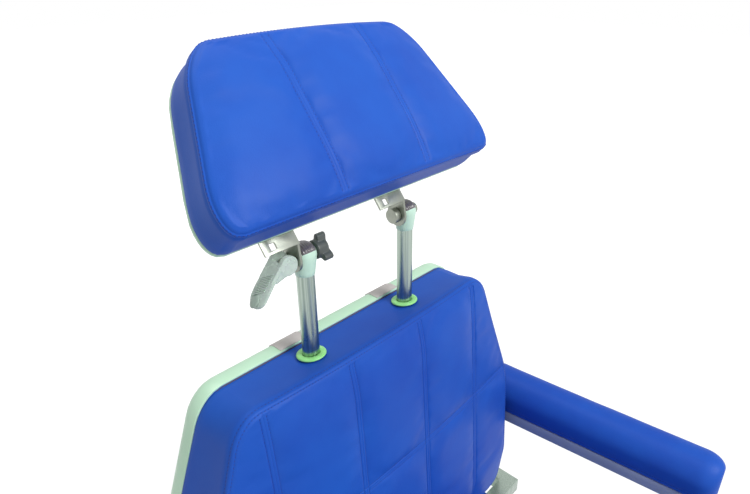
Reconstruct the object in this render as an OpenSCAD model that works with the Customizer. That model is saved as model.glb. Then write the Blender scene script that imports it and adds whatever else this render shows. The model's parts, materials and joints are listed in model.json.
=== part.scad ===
// Electric facial bed: a padded seat on a lifting column, with a backrest, a legrest, a headrest on
// two sliding posts and two lift-up armrests. It stands on the floor plane with its foot end at -Y.
// Most pieces are drawn about the back hinge, with n forward of it (towards -Y) and z above it.

/* [Seat] */
// Height of the seat's top with the lift down
seat_top_z = 600; // [560:5:680]
// Thickness of the seat and leg pads, twice the radius of the seat's round ends
pad_t = 100; // [90:2:120]
// Width of the seat pad
seat_w = 570; // [520:10:620]
// Distance from the back hinge to the leg hinge
seat_span = 500; // [460:10:560]
// Gap between the seat's round end and the pad that turns about it
nose_gap = 5; // [4:0.5:10]

/* [Backrest] */
// Length of the backrest
back_len = 505; // [450:5:600]
// Width of the backrest across its shoulders and waist
back_w = 620; // [590:5:660]
// Width of the backrest at its top edge, before the corners are rounded
back_top_w = 451; // [400:5:520]
// Distance from the top edge down to the shoulders
shoulder_drop = 228; // [180:2:260]
// Depth of the upholstery in front of the posts, at its side seams
back_front = 42; // [36:1:60]
// Depth of the upholstery and its board behind the posts
back_rear = 33; // [30:1:40]
// Depth of the white shell behind the upholstery
back_shell_t = 29; // [27:1:40]
// How much thicker the upholstery is at the small of the back
lumbar_rise = 27; // [0:1:40]

/* [Headrest] */
// Distance between the two posts
post_gap = 176; // [150:2:200]
// Diameter of the posts
post_d = 22; // [18:0.5:25]
// Length of post that shows between the collar and the clamp
post_show = 117.6; // [100:1:150]
// Length of post inside the backrest
post_in = 190; // [150:5:200]
// Height of the headrest pad along its face
head_len = 206; // [160:2:240]
// Width of the headrest pad at its lower edge, before the corners are rounded
head_w = 452; // [380:2:480]
// Width of the headrest pad at its upper edge, before the corners are rounded
head_top_w = 320; // [260:2:360]
// Angle by which the headrest leans back
head_lean = 39; // [0:0.5:45]
// Depth of the headrest pad at its border seam
head_side_t = 58; // [40:1:70]

/* [Armrests] */
// Width of the armrest cushion
arm_w = 84; // [60:2:100]
// Length of the armrest cushion
arm_len = 430; // [350:5:450]
// Height of the armrest cushion
arm_h = 66; // [50:1:80]
// Drop from the backrest's top to the armrest's top
arm_drop = 276; // [240:2:320]
// Angle by which the armrests open outward
arm_splay = 5; // [0:0.5:7]

/* [Legrest] */
// Length of the legrest pad
leg_len = 480; // [400:5:560]
// Width of the legrest pad at its foot end
leg_end_w = 470; // [400:5:560]

/* [Base] */
// Length of the base behind the back hinge
base_rear = 200; // [160:5:260]
// Length of the base in front of the back hinge
base_front = 490; // [440:10:500]
// Width of the base cover
base_w = 450; // [400:5:520]
// Height of the base cover's top
cover_top = 130; // [110:5:160]
// Height of the rubber feet
foot_h = 15; // [10:1:25]
// Travel of the lift
lift_travel = 280; // [200:10:290]

/* [Hidden] */
$fn = 40;
// Overrun of a cut past the face it opens
cut = 1;
// Clearance of a shaft in its bore, on the radius
running = 0.05;
// Clearance of a soft piece from a hard one
soft_gap = 0.3;

// Seat and hinge places
nose_r = pad_t / 2;
pivot_z = seat_top_z - nose_r;
end_gap_r = nose_r + nose_gap;
back_top = end_gap_r + back_len;
leg_end = end_gap_r + leg_len;
bed_front = seat_span + leg_end;
y_back = (bed_front - base_rear) / 2;
seat_half = seat_w / 2;
pad_floor = -22;
board_t = 12;
wall = 3;

// Hinge plates, side plates and pins, counted outward from the seat pad
plate_t = 6;
plate_gap = 4;
rail_gap = 2;
plate_x = seat_half + plate_gap;
rail_x = plate_x + plate_t + rail_gap;
pin_r = 8;
pin_head_r = 13;
pin_head_t = 5;
pin_proud = 1;
hub_r = 22;
rail_r = 28;
rail_top = 10;

// Cross tubes under the seat
cross_h = 30;
cross_w = 40;
cross_top = -nose_r;
cross_low = cross_top - cross_h;
cross_rear_n = 150;
cross_front_n = seat_span - cross_rear_n;
rail_slope = 60;

// Levers, yokes and actuators of the back and the legrest
lever_r = 130;
lever_t = 12;
lever_pin_r = 8;
lever_eye_r = 14;
lever_x = 120;
yoke_t = 12;
yoke_gap = 2;
yoke_play = 2.5;
yoke_wall = 8;
back_turn = 85;
leg_turn = 80;
rod_r = 7.5;
rod_share = 0.93;
body_r = 22;
body_len = 230;
body_clear = 5;
rod_grip = 40;
rod_x = lever_x - yoke_gap - yoke_t / 2;
rod_z = -lever_r * (1 + cos(back_turn / 2)) / 2;
back_reach = lever_r * sin(back_turn / 2);
leg_reach = lever_r * sin(leg_turn / 2);
back_stroke = rod_share * lever_r * back_turn * PI / 180;
leg_stroke = rod_share * lever_r * leg_turn * PI / 180;
yoke_half = lever_pin_r + yoke_play + yoke_wall;
slot_half = lever_r * (1 - cos(back_turn / 2)) / 2 + lever_pin_r + yoke_play;

// Column
column_n = seat_span / 2;
outer_w = 160;
outer_l = 120;
outer_wall = 5;
inner_w = 140;
inner_l = 100;
inner_wall = 4;
column_floor = 55;
column_top = 410;
flange_t = 6;
flange_w = 160;
flange_low = pivot_z + cross_low - flange_t;
inner_gap = 20;
inner_low = column_floor + inner_gap;
lift_r = 15;
lift_tube_r = 25;
lift_tube_top = 395;
lift_floor_t = 6;

// Base frame and cover
frame_edge = 55;
frame_x = base_w / 2 - frame_edge;
frame_w = 50;
frame_h = 40;
frame_low = foot_h;
frame_top = frame_low + frame_h;
cover_lift = 3;
cover_low = foot_h + cover_lift;
cover_t = 4;
cover_r = 60;
frame_inset = 20;
foot_inset = 60;
foot_r = 30;

// Backrest
face_crown = 16;
end_share = 0.4;
end_fade = 70;
top_slope_share = 0.11;
top_fade = 90;
back_corner_x = 28;
back_corner_y = 32;
waist_corner = 36;
shoulder_blend = 40;
seam_x = 65;
seam_step = 130;
seam_half = 4.5;
seam_depth = 2.5;
cross_seam = 210;
frame_bar = 13;
frame_bar_x = 180;
hinge_bar_w = 25;
hinge_bar_low = 15;
hinge_bar_t = 10;
guide_r = 14;
guide_rib = 9.7;
guide_len = 305;
collar_r = 19.4;
collar_t = 3;
clip_w = 44;
clip_t = 1;
clip_drop = 60;

// Headrest clamp, tilt axis and pad, in the pad's own frame about the tilt axis
sleeve_h = 25.4;
sleeve_wall = 1.2;
tilt_rise = post_show + sleeve_h;
barrel_r = 15.5;
barrel_half = 14;
sleeve_foot_r = post_d / 2 + sleeve_wall;
ear_t = 3;
ear_r = 16;
bolt_r = 4;
head_low = 26;
head_rear = 26;
head_shell_t = 8;
head_crown = 18;
head_seam_x = 68;
head_corner_x = 34;
head_corner_y = 62;
head_top_corner_x = 30;
head_top_corner_y = 52;
flange_head_t = 3;
lever_len = 62;
lever_w = 24;
lever_cam_r = 12;
cam_pin_off = lever_cam_r + soft_gap;
cam_pin_r = 2;
lever_slot = 5;
lever_open = 41;
knob_r = 12;
knob_wing = 19;
knob_len = 18;

// Armrests, about their pivot
tray_t = 22;
tray_inset = 3;
arm_pivot_drop = 14;
arm_pivot_n = -6;
arm_pivot_z = back_top - arm_drop - arm_h - tray_t - arm_pivot_drop;
arm_rear = 2;
arm_gap = 12;
arm_x = max(back_w / 2, rail_x + plate_t + pin_head_t) + arm_gap + arm_w / 2;
arm_eye_r = 12.5;
arm_pin_r = 5;
arm_head_half = 14;
lug_t = 6;
lug_gap = 1;
arm_post_front = 14;
arm_stub_z = -20;
arm_stub_h = 30;

// Switches
rocker_w = 16;
rocker_l = 26;
rocker_step = 36;
rocker_n = 180;
rocker_z = -30;

// Helper shapes and functions

// Moves a piece from the back hinge's frame to its place over the floor.
module bed() {
    translate([0, y_back, pivot_z]) children();
}

// Moves a piece drawn over the floor, with n along -Y, to its place.
module ground() {
    translate([0, y_back, 0]) children();
}

// The backrest's frame: x across, y up the back, z forward of the posts.
module on_back() {
    bed() rotate([90, 0, 0]) children();
}

// The headrest's frame: x across, y up the pad, z out of its face, about the tilt axis.
module on_head() {
    bed() translate([0, 0, back_top + tilt_rise]) rotate([90 - head_lean, 0, 0]) children();
}

// The seat's or legrest's frame: x across, y forward along n, z up, about a hinge at n.
module on_seat(n = 0) {
    bed() translate([0, -n, 0]) rotate([0, 0, 180]) children();
}

// A box between limits in x, n and z.
module block(x, n, z) {
    translate([x[0], -n[1], z[0]]) cube([x[1] - x[0], n[1] - n[0], z[1] - z[0]]);
}

// A side view in n and z, extruded across from x.
module side(x, t) {
    translate([x + t, 0, 0]) rotate([90, 0, -90]) linear_extrude(t) children();
}

// A round bar across, from x0 to x1.
module bar_x(x0, x1, n, z, r) {
    translate([x0, -n, z]) rotate([0, 90, 0]) cylinder(r = r, h = x1 - x0);
}

// A round bar along the bed, from n0 to n1.
module bar_n(n0, n1, x, z, r) {
    translate([x, -n0, z]) rotate([90, 0, 0]) cylinder(r = r, h = n1 - n0);
}

// A round bar upward, from z0 to z1.
module bar_z(z0, z1, x, n, r) {
    translate([x, -n, z0]) cylinder(r = r, h = z1 - z0);
}

// A copy on each side of the bed.
module both() {
    children();
    mirror([1, 0, 0]) children();
}

// How far a rounded corner pulls the outline in, at distance u from its end.
function corner(u, a, b) = u < b ? a * (1 - sqrt(max(0, 1 - pow(1 - u / b, 2)))) : 0;

// A ramp from 0 to 1 as t goes from 0 to 1.
function ramp(t) = sin(90 * min(1, max(0, t)));

// Half width of the backrest at height w above the hinge.
function back_half(w) =
    let (u = back_top - w,
        rise = (back_w - back_top_w) / 2 / shoulder_drop,
        over = u - shoulder_drop,
        bend = abs(over) < shoulder_blend ? pow(shoulder_blend - abs(over), 2) / 4 / shoulder_blend : 0,
        straight = back_top_w / 2 + rise * min(u, shoulder_drop) - rise * bend)
    straight - corner(u, back_corner_x, back_corner_y)
        - corner(w - end_gap_r, waist_corner, waist_corner);

// Half width of the headrest at distance y above the tilt axis.
function head_half(y) =
    let (v = y - head_low)
    head_w / 2 - (head_w - head_top_w) / 2 * v / head_len
        - corner(v, head_corner_x, head_corner_y)
        - corner(head_len - v, head_top_corner_x, head_top_corner_y);

// Half width of the legrest at distance v from its hinge.
leg_corner = 60;
function leg_half(v) =
    seat_half - (seat_w - leg_end_w) / 2 * max(0, v - end_gap_r) / leg_len
        - corner(leg_end - v, leg_corner, leg_corner);

// Height of the seat's round ends above the hinges' plane.
function nose(n) =
    let (over = max(-n, n - seat_span, 0))
    sqrt(max(0, nose_r * nose_r - over * over));

// Places along a length: close together in the end corners, even between them.
function stations(low, high, a, b, k, m) = concat(
    [for (i = [0:k - 1]) low + a * (1 - cos(90 * i / k))],
    [for (i = [0:m]) low + a + (high - low - a - b) * i / m],
    [for (i = [1:k]) high - b * (1 - sin(90 * i / k))]);

// The same list with three places for each cross seam, sorted.
function with_seams(list, seams) =
    let (kept = [for (p = list) if (len([for (s = seams) if (abs(p - s) < 3 * seam_half) 1]) == 0) p],
        added = [for (s = seams) each [s - 2 * seam_half, s, s + 2 * seam_half]])
    sort(concat(kept, added));

function sort(list) = len(list) <= 1 ? list :
    let (mid = list[floor(len(list) / 2)])
    concat(sort([for (p = list) if (p < mid) p]), [for (p = list) if (p == mid) p],
        sort([for (p = list) if (p > mid) p]));

// How deep a point lies in a seam's channel, from 0 to 1.
function near_seam(p, seams) =
    len(seams) == 0 ? 0 : max([for (s = seams) max(0, 1 - abs(p - s) / (2 * seam_half))]);

// Places across the right half of a padded face, from the border seam to the middle.
border_inset = 7;
function face_columns(half, seams) =
    let (last = seams[len(seams) - 1] + 3 * seam_half,
        squeeze = min(1, (half - 2 * border_inset) / last),
        rim = half - border_inset)
    concat([rim, (rim + last * squeeze) / 2],
        [for (k = [len(seams) - 1:-1:0]) each concat(
            [for (d = [2, 0, -2]) (seams[k] + d * seam_half) * squeeze],
            [k > 0 ? (seams[k] + seams[k - 1]) / 2 * squeeze : seams[0] / 2 * squeeze])]);

// One section across a padded form: flat back, drawn-in sides and a crowned, channelled face.
edge_round = 12;
side_draw = 2.5;
function pad_section(half, back, rim, crown, seams, channel) =
    let (columns = face_columns(half, seams),
        shade = [for (x = columns) [x, rim + crown * (1 - pow(x / half, 2))
            - seam_depth * max(channel, near_seam(x, seams))]],
        tall = rim - back,
        flank = [[half - edge_round / 3, back], [half, back + min(edge_round, tall / 3)],
            [half - min(side_draw, tall / 10), (back + rim) / 2], [half, rim - min(edge_round, tall / 3)]],
        right = concat(flank, shade))
    concat(right, [[0, rim + crown - seam_depth * channel]],
        [for (i = [len(right) - 1:-1:0]) [-right[i][0], right[i][1]]]);

// A closed form through sections of equal length, given as lists of points.
module loft(rows) {
    m = len(rows[0]);
    last = (len(rows) - 1) * m;
    points = [for (row = rows) each row];
    walls = [for (j = [0:len(rows) - 2]) for (i = [0:m - 1])
        let (a = j * m + i, b = j * m + (i + 1) % m)
        each [[a, b, b + m], [a, b + m, a + m]]];
    caps = [[for (i = [m - 1:-1:0]) i], [for (i = [0:m - 1]) last + i]];
    polyhedron(points = points, faces = concat(walls, caps));
}

// A flat plate with a symmetric outline, from half widths at a list of places.
function outline(places, halves) = concat(
    [for (i = [0:len(places) - 1]) [halves[i], places[i]]],
    [for (i = [len(places) - 1:-1:0]) [-halves[i], places[i]]]);

back_places = stations(end_gap_r, back_top, waist_corner, back_corner_y, 5, 12);
head_places = stations(head_low, head_low + head_len, head_corner_y, head_top_corner_y, 5, 6);
leg_places = stations(end_gap_r, leg_end, leg_corner, leg_corner, 5, 6);

module back_outline(inset) {
    polygon(outline([for (w = back_places) end_gap_r + inset + (w - end_gap_r) * (1 - 2 * inset / back_len)],
        [for (w = back_places) back_half(w) - inset]));
}

module head_outline(inset) {
    polygon(outline([for (y = head_places) head_low + inset + (y - head_low) * (1 - 2 * inset / head_len)],
        [for (y = head_places) head_half(y) - inset]));
}

module leg_outline(inset) {
    polygon(outline([for (v = leg_places) end_gap_r + inset + (v - end_gap_r) * (1 - 2 * inset / leg_len)],
        [for (v = leg_places) leg_half(v) - inset]));
}

// A hollow cover behind a pad: open at the top of its height, with a rounded far edge.
shell_edge_share = 0.45;
module cover_slabs(t, inset) {
    thin = t / 20;
    edge = t * shell_edge_share;
    hull() {
        translate([0, 0, edge]) linear_extrude(t - edge) children(0);
        translate([0, 0, edge / 4]) linear_extrude(thin) children(1);
        linear_extrude(thin) children(2);
    }
}

// Base

module base_frame() {
    color("dimgray") ground() {
        both() block([frame_x - frame_w / 2, frame_x + frame_w / 2],
            [frame_inset - base_rear, base_front - frame_inset], [frame_low, frame_top]);
        for (n = [foot_inset - base_rear, column_n, base_front - foot_inset])
            block([frame_w / 2 - frame_x, frame_x - frame_w / 2], [n - frame_w / 2, n + frame_w / 2],
                [frame_low, frame_top]);
        block([frame_w / 2 - frame_x, frame_x - frame_w / 2],
            [column_n - outer_l, column_n + outer_l], [frame_top - flange_t, frame_top]);
    }
}

module base_feet() {
    color("black") ground() both() for (n = [foot_inset - base_rear, base_front - foot_inset]) {
        bar_z(0, foot_h, frame_x, n, foot_r);
    }
}

// The cover's footprint, inset from its outer faces.
module cover_print(inset) {
    r = cover_r - inset;
    x = base_w / 2 - cover_r;
    translate([-base_w / 2 + inset, -base_front + cover_r])
        square([base_w - 2 * inset, base_front + base_rear - 2 * cover_r]);
    translate([-x, -base_front + inset]) square([2 * x, base_front + base_rear - 2 * inset]);
    for (px = [-x, x], py = [cover_r - base_front, base_rear - cover_r])
        translate([px, py]) circle(r = r);
}

boss_r = 9;
boss_n = [foot_inset - base_rear + frame_w, base_front - foot_inset - frame_w];
inlet_w = 28;
inlet_h = 24;
inlet_n = -80;
inlet_z = 75;
module base_cover() {
    color("white") ground() difference() {
        union() {
            difference() {
                translate([0, 0, cover_low]) linear_extrude(cover_top - cover_low) cover_print(0);
                translate([0, 0, cover_low - cut])
                    linear_extrude(cover_top - cover_low - cover_t + cut) cover_print(cover_t);
            }
            both() for (n = boss_n) bar_z(frame_top, cover_top - cover_t, frame_x, n, boss_r);
        }
        block([-outer_w / 2 - cut, outer_w / 2 + cut],
            [column_n - outer_l / 2 - cut, column_n + outer_l / 2 + cut], [frame_top, cover_top + cut]);
        block([-base_w / 2 - cut, cover_t + cut - base_w / 2],
            [inlet_n - inlet_w / 2, inlet_n + inlet_w / 2], [inlet_z - inlet_h / 2, inlet_z + inlet_h / 2]);
        both() for (n = boss_n) bar_z(frame_top - cut, cover_top + cut, frame_x, n, screw_r + running);
    }
}

screw_r = 2.5;
screw_head_r = 5;
screw_head_t = 2.5;
module cover_screws() {
    color("silver") ground() both() for (n = boss_n) {
        bar_z(frame_top, cover_top, frame_x, n, screw_r);
        bar_z(cover_top, cover_top + screw_head_t, frame_x, n, screw_head_r);
    }
}

module column_outer() {
    color("lightgray") ground() difference() {
        block([-outer_w / 2, outer_w / 2], [column_n - outer_l / 2, column_n + outer_l / 2],
            [column_floor, column_top]);
        block([outer_wall - outer_w / 2, outer_w / 2 - outer_wall],
            [column_n - outer_l / 2 + outer_wall, column_n + outer_l / 2 - outer_wall],
            [column_floor - cut, column_top + cut]);
    }
}

motor_r = 24;
motor_len = 90;
gear_w = 56;
gear_t = 30;
module lift_motor() {
    color("gray") ground() {
        block([-gear_w / 2, gear_w / 2], [column_n + outer_l / 2, column_n + outer_l / 2 + gear_t],
            [frame_top, frame_top + gear_w]);
        bar_n(column_n + outer_l / 2 + gear_t, column_n + outer_l / 2 + gear_t + motor_len, 0,
            frame_top + gear_w / 2, motor_r);
    }
}

module lift_tube() {
    color("gray") ground() difference() {
        bar_z(column_floor, lift_tube_top, 0, column_n, lift_tube_r);
        bar_z(column_floor + lift_floor_t, lift_tube_top + cut, 0, column_n, lift_r + running);
    }
}

box_w = 120;
box_l = 70;
box_h = 38;
module control_box() {
    color("darkslategray") ground()
        block([-box_w / 2, box_w / 2], [foot_inset - base_rear - frame_w / 2,
            foot_inset - base_rear - frame_w / 2 + box_l], [frame_top, frame_top + box_h]);
}

inlet_depth = 26;
inlet_wall = 3;
module power_inlet() {
    x = -base_w / 2;
    color("black") ground() difference() {
        union() {
            block([x, x + inlet_depth], [inlet_n - inlet_w / 2, inlet_n + inlet_w / 2],
                [inlet_z - inlet_h / 2, inlet_z + inlet_h / 2]);
            block([x + cover_t, x + cover_t + inlet_wall],
                [inlet_n - inlet_w / 2 - inlet_wall, inlet_n + inlet_w / 2 + inlet_wall],
                [inlet_z - inlet_h / 2 - inlet_wall, inlet_z + inlet_h / 2 + inlet_wall]);
        }
        block([x - cut, x + inlet_depth - inlet_wall],
            [inlet_n - inlet_w / 2 + inlet_wall, inlet_n + inlet_w / 2 - inlet_wall],
            [inlet_z - inlet_h / 2 + inlet_wall, inlet_z + inlet_h / 2 - inlet_wall]);
    }
}

// Lifted part

module column_inner() {
    color("silver") ground() {
        difference() {
            block([-inner_w / 2, inner_w / 2], [column_n - inner_l / 2, column_n + inner_l / 2],
                [inner_low, flange_low]);
            block([inner_wall - inner_w / 2, inner_w / 2 - inner_wall],
                [column_n - inner_l / 2 + inner_wall, column_n + inner_l / 2 - inner_wall],
                [inner_low - cut, flange_low + cut]);
        }
        block([-flange_w / 2, flange_w / 2], [cross_rear_n - cross_w / 2, cross_front_n + cross_w / 2],
            [flange_low, flange_low + flange_t]);
    }
}

glide_h = 40;
glide_w = 50;
module column_glides() {
    gap_x = (outer_w - inner_w) / 2 - outer_wall - soft_gap;
    gap_n = (outer_l - inner_l) / 2 - outer_wall - soft_gap;
    color("ivory") ground() {
        both() block([inner_w / 2, inner_w / 2 + gap_x], [column_n - glide_w / 2, column_n + glide_w / 2],
            [inner_low, inner_low + glide_h]);
        block([-glide_w / 2, glide_w / 2], [column_n + inner_l / 2, column_n + inner_l / 2 + gap_n],
            [inner_low, inner_low + glide_h]);
        block([-glide_w / 2, glide_w / 2], [column_n - inner_l / 2 - gap_n, column_n - inner_l / 2],
            [inner_low, inner_low + glide_h]);
    }
}

module lift_rod() {
    color("silver") ground()
        bar_z(column_floor + lift_floor_t, flange_low, 0, column_n, lift_r);
}

module rail_side() {
    difference() {
        union() {
            circle(r = rail_r);
            translate([seat_span, 0]) circle(r = rail_r);
            translate([0, -rail_r]) square([seat_span, rail_r + rail_top]);
            polygon([[rail_slope, -rail_r], [cross_rear_n - cross_w / 2, cross_low],
                [cross_front_n + cross_w / 2, cross_low], [seat_span - rail_slope, -rail_r]]);
        }
        circle(r = pin_r);
        translate([seat_span, 0]) circle(r = pin_r);
    }
}

module seat_frame() {
    color("white") bed() {
        both() side(rail_x, plate_t) rail_side();
        for (n = [cross_rear_n, cross_front_n])
            block([-rail_x, rail_x], [n - cross_w / 2, n + cross_w / 2], [cross_low, cross_top]);
    }
}

// The seat pad's side view below the upholstery, for a given nose radius.
module seat_side(r, top) {
    intersection() {
        union() {
            circle(r = r);
            translate([seat_span, 0]) circle(r = r);
            translate([0, -r]) square([seat_span, 2 * r]);
        }
        translate([-nose_r - cut, -nose_r - cut]) square([seat_span + pad_t + 2 * cut, nose_r + top + cut]);
    }
}

module seat_shell() {
    color("white") bed() difference() {
        side(-seat_half, seat_w) seat_side(nose_r, pad_floor);
        side(wall - seat_half, seat_w - 2 * wall) seat_side(nose_r - wall, pad_floor + cut);
    }
}

board_inset = 19;
module seat_board() {
    color("burlywood") bed() block([board_inset / 3 - seat_half, seat_half - board_inset / 3],
        [board_inset - nose_r, seat_span + nose_r - board_inset], [pad_floor - board_t, pad_floor]);
}

seat_rim_share = 0.76;
seat_crown = 8;
seat_clear = 60;
seat_ramp = 90;
seat_seams = [seam_x, seam_x + seam_step];
seat_cross_seams = [seat_span / 2];
seat_draw = 3;
module seat_cushion() {
    ends = [for (i = [0:5]) nose_r * (1 - cos(15 * i + 5))];
    places = with_seams(concat([for (d = ends) d - nose_r],
        [for (i = [0:12]) seat_span * i / 12],
        [for (i = [5:-1:0]) seat_span + nose_r - ends[i]]), seat_cross_seams);
    color("royalblue") on_seat() loft([for (n = places)
        let (top = nose(n),
            mid = ramp((n - seat_clear) / seat_ramp) * ramp((seat_span - seat_clear - n) / seat_ramp),
            half = seat_half - seat_draw * sin(180 * n / seat_span) * (n > 0 && n < seat_span ? 1 : 0),
            section = pad_section(half, max(pad_floor, -top), top * seat_rim_share,
                top * (1 - seat_rim_share) + seat_crown * mid, seat_seams, near_seam(n, seat_cross_seams)))
        [for (p = section) [p[0], n, p[1]]]]);
}

// A linear actuator's fixed half: tube, gear motor beside it and saddles under the cross tubes.
saddle_w = 24;
saddle_l = 30;
drive_r = 17;
drive_len = 100;
drive_off = 42;
module actuator(n0, n1, x, out) {
    open_n = out > 0 ? n1 : n0;
    difference() {
        union() {
            bar_n(n0, n1, x, rod_z, body_r);
            bar_n(n0 + saddle_l, n0 + saddle_l + drive_len, x + sign(x) * drive_off, rod_z, drive_r);
            block([min(x, x + sign(x) * drive_off), max(x, x + sign(x) * drive_off)],
                [n0 + saddle_l + cut, n0 + 2 * saddle_l], [rod_z - drive_r / 2, rod_z + drive_r / 2]);
            for (n = [cross_rear_n, cross_front_n]) if (n - saddle_l / 2 > n0 && n + saddle_l / 2 < n1)
                block([x - saddle_w / 2, x + saddle_w / 2], [n - saddle_l / 2, n + saddle_l / 2],
                    [rod_z + body_r / 2, cross_low]);
        }
        bar_n(out > 0 ? n0 + body_clear : n0 - cut, out > 0 ? n1 + cut : n1 - body_clear, x, rod_z,
            rod_r + running);
    }
}

back_body = back_stroke / 2 + yoke_half + body_clear;
leg_body = seat_span - leg_stroke / 2 - yoke_half - body_clear;
module back_actuator() {
    color("darkgray") bed() actuator(back_body, back_body + body_len, -rod_x, -1);
}

module leg_actuator() {
    color("darkgray") bed() actuator(leg_body - body_len, leg_body, rod_x, 1);
}

module hinge_pins() {
    color("silver") bed() both() for (n = [0, seat_span]) {
        bar_x(plate_x - pin_proud, rail_x + plate_t, n, 0, pin_r);
        bar_x(rail_x + plate_t, rail_x + plate_t + pin_head_t, n, 0, pin_head_r);
    }
}

// An upright outside the seat's side plate, with an eye for the armrest's pin.
module arm_post_side() {
    difference() {
        union() {
            translate([arm_pivot_n, arm_pivot_z]) circle(r = arm_eye_r);
            translate([arm_pivot_n - arm_eye_r, arm_stub_z])
                square([arm_eye_r + arm_post_front - arm_pivot_n, arm_pivot_z - arm_stub_z - arm_eye_r]);
            translate([arm_pivot_n, arm_pivot_z - 2 * arm_eye_r])
                square([arm_post_front - arm_pivot_n, 2 * arm_eye_r + arm_pivot_drop - soft_gap]);
        }
        translate([arm_pivot_n, arm_pivot_z]) circle(r = arm_pin_r);
    }
}

stub_gap = 12;
stub_n = rail_r + stub_gap;
module arm_posts() {
    color("silver") bed() both() {
        side(arm_x - arm_head_half, 2 * arm_head_half) arm_post_side();
        block([arm_x - arm_head_half, arm_x + arm_head_half], [arm_post_front, stub_n + arm_stub_h],
            [arm_stub_z, arm_stub_z + arm_stub_h]);
        block([rail_x + plate_t, arm_x - arm_head_half], [stub_n, stub_n + arm_stub_h],
            [arm_stub_z, arm_stub_z + arm_stub_h]);
    }
}

module arm_pins() {
    reach = arm_head_half + lug_gap + lug_t;
    color("silver") bed() both() {
        bar_x(arm_x - reach - lug_gap, arm_x + reach + lug_gap, arm_pivot_n, arm_pivot_z, arm_pin_r);
        for (x = [arm_x - reach - lug_gap - lug_t / 2, arm_x + reach + lug_gap])
            bar_x(x, x + lug_t / 2, arm_pivot_n, arm_pivot_z, arm_pin_r + lug_t / 2);
    }
}

// Three rocker switches on a plate outside the seat's side plate, at the sitter's right hand.
switch_t = 10;
switch_rim = 8;
rocker_play = 1;
rocker_pin_r = 2;
rocker_pin_in = 3;
rocker_dish = 2;
rocker_dish_r = 42;
function rocker_place(i) = rocker_n + rocker_step * i;
module switch_plate() {
    x = -rail_x - plate_t;
    color("dimgray") bed() difference() {
        block([x - switch_t, x], [rocker_place(0) - rocker_w / 2 - switch_rim,
            rocker_place(2) + rocker_w / 2 + switch_rim],
            [rocker_z - rocker_l / 2 - switch_rim, rocker_z + rocker_l / 2 + switch_rim]);
        for (i = [0:2]) {
            n = rocker_place(i);
            block([x - switch_t - cut, x - wall], [n - rocker_w / 2 - rocker_play, n + rocker_w / 2 + rocker_play],
                [rocker_z - rocker_l / 2 - rocker_play, rocker_z + rocker_l / 2 + rocker_play]);
            bar_n(n - rocker_w / 2 - switch_rim / 2, n + rocker_w / 2 + switch_rim / 2, x - switch_t + rocker_pin_in,
                rocker_z, rocker_pin_r + running);
        }
    }
}

rocker_rise = 5;
module rocker(i) {
    x = -rail_x - plate_t - switch_t;
    n = rocker_place(i);
    difference() {
        union() {
            block([x - rocker_rise, x + rocker_pin_in + rocker_play], [n - rocker_w / 2, n + rocker_w / 2],
                [rocker_z - rocker_l / 2, rocker_z + rocker_l / 2]);
            bar_n(n - rocker_w / 2 - switch_rim / 2 + rocker_play / 2,
                n + rocker_w / 2 + switch_rim / 2 - rocker_play / 2, x + rocker_pin_in, rocker_z, rocker_pin_r);
        }
        bar_n(n - rocker_w, n + rocker_w, x - rocker_rise + rocker_dish - rocker_dish_r, rocker_z, rocker_dish_r);
    }
}

module rocker_lift() {
    color("whitesmoke") bed() rocker(0);
}

module rocker_back() {
    color("whitesmoke") bed() rocker(1);
}

module rocker_leg() {
    color("whitesmoke") bed() rocker(2);
}

// Rods with slotted yokes

module yoke_rod(n, x, tip) {
    difference() {
        union() {
            block([x - yoke_t / 2, x + yoke_t / 2], [n - yoke_half, n + yoke_half],
                [rod_z - slot_half - yoke_wall, rod_z + slot_half + yoke_wall]);
            bar_n(min(n, tip), max(n, tip), x, rod_z, rod_r);
        }
        block([x - yoke_t, x + yoke_t], [n - lever_pin_r - yoke_play, n + lever_pin_r + yoke_play],
            [rod_z - slot_half, rod_z + slot_half]);
    }
}

module back_rod() {
    color("silver") bed() yoke_rod(-back_stroke / 2, -rod_x, back_body + rod_grip);
}

module leg_rod() {
    color("silver") bed() yoke_rod(seat_span + leg_stroke / 2, rod_x, leg_body - rod_grip);
}

// Backrest

bar_front = -back_rear - board_t;
bar_rear = bar_front - frame_bar;
bar_low = end_gap_r + hinge_bar_low;
bar_high = bar_low + hinge_bar_w;

module back_lever_side() {
    eye = [-back_reach, -lever_r * cos(back_turn / 2)];
    inner = end_gap_r + nose_gap / 2;
    difference() {
        union() {
            polygon([[bar_rear, bar_high], [bar_front, bar_high],
                [bar_front, sqrt(inner * inner - bar_front * bar_front)],
                [-inner * cos(25), inner * sin(25)],
                [-inner, 0], [-inner * cos(20), -inner * sin(20)],
                [eye[0] + lever_eye_r, eye[1]], [eye[0] - lever_eye_r, eye[1]],
                [-inner - lever_eye_r * 2, -inner * sin(20)], [-inner - lever_eye_r * 2, 0],
                [bar_rear, bar_low]]);
            translate(eye) circle(r = lever_eye_r);
        }
        translate(eye) circle(r = lever_pin_r - cut);
    }
}

module back_plate_side() {
    difference() {
        union() {
            circle(r = hub_r);
            polygon([[bar_rear, bar_high], [bar_front, bar_high], [bar_front, bar_low - hub_r],
                [hub_r / 2, hub_r * 0.86], [-hub_r * 0.5, -hub_r * 0.86], [bar_rear, bar_low - hub_r * 1.4]]);
        }
        circle(r = pin_r + running);
    }
}

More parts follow.
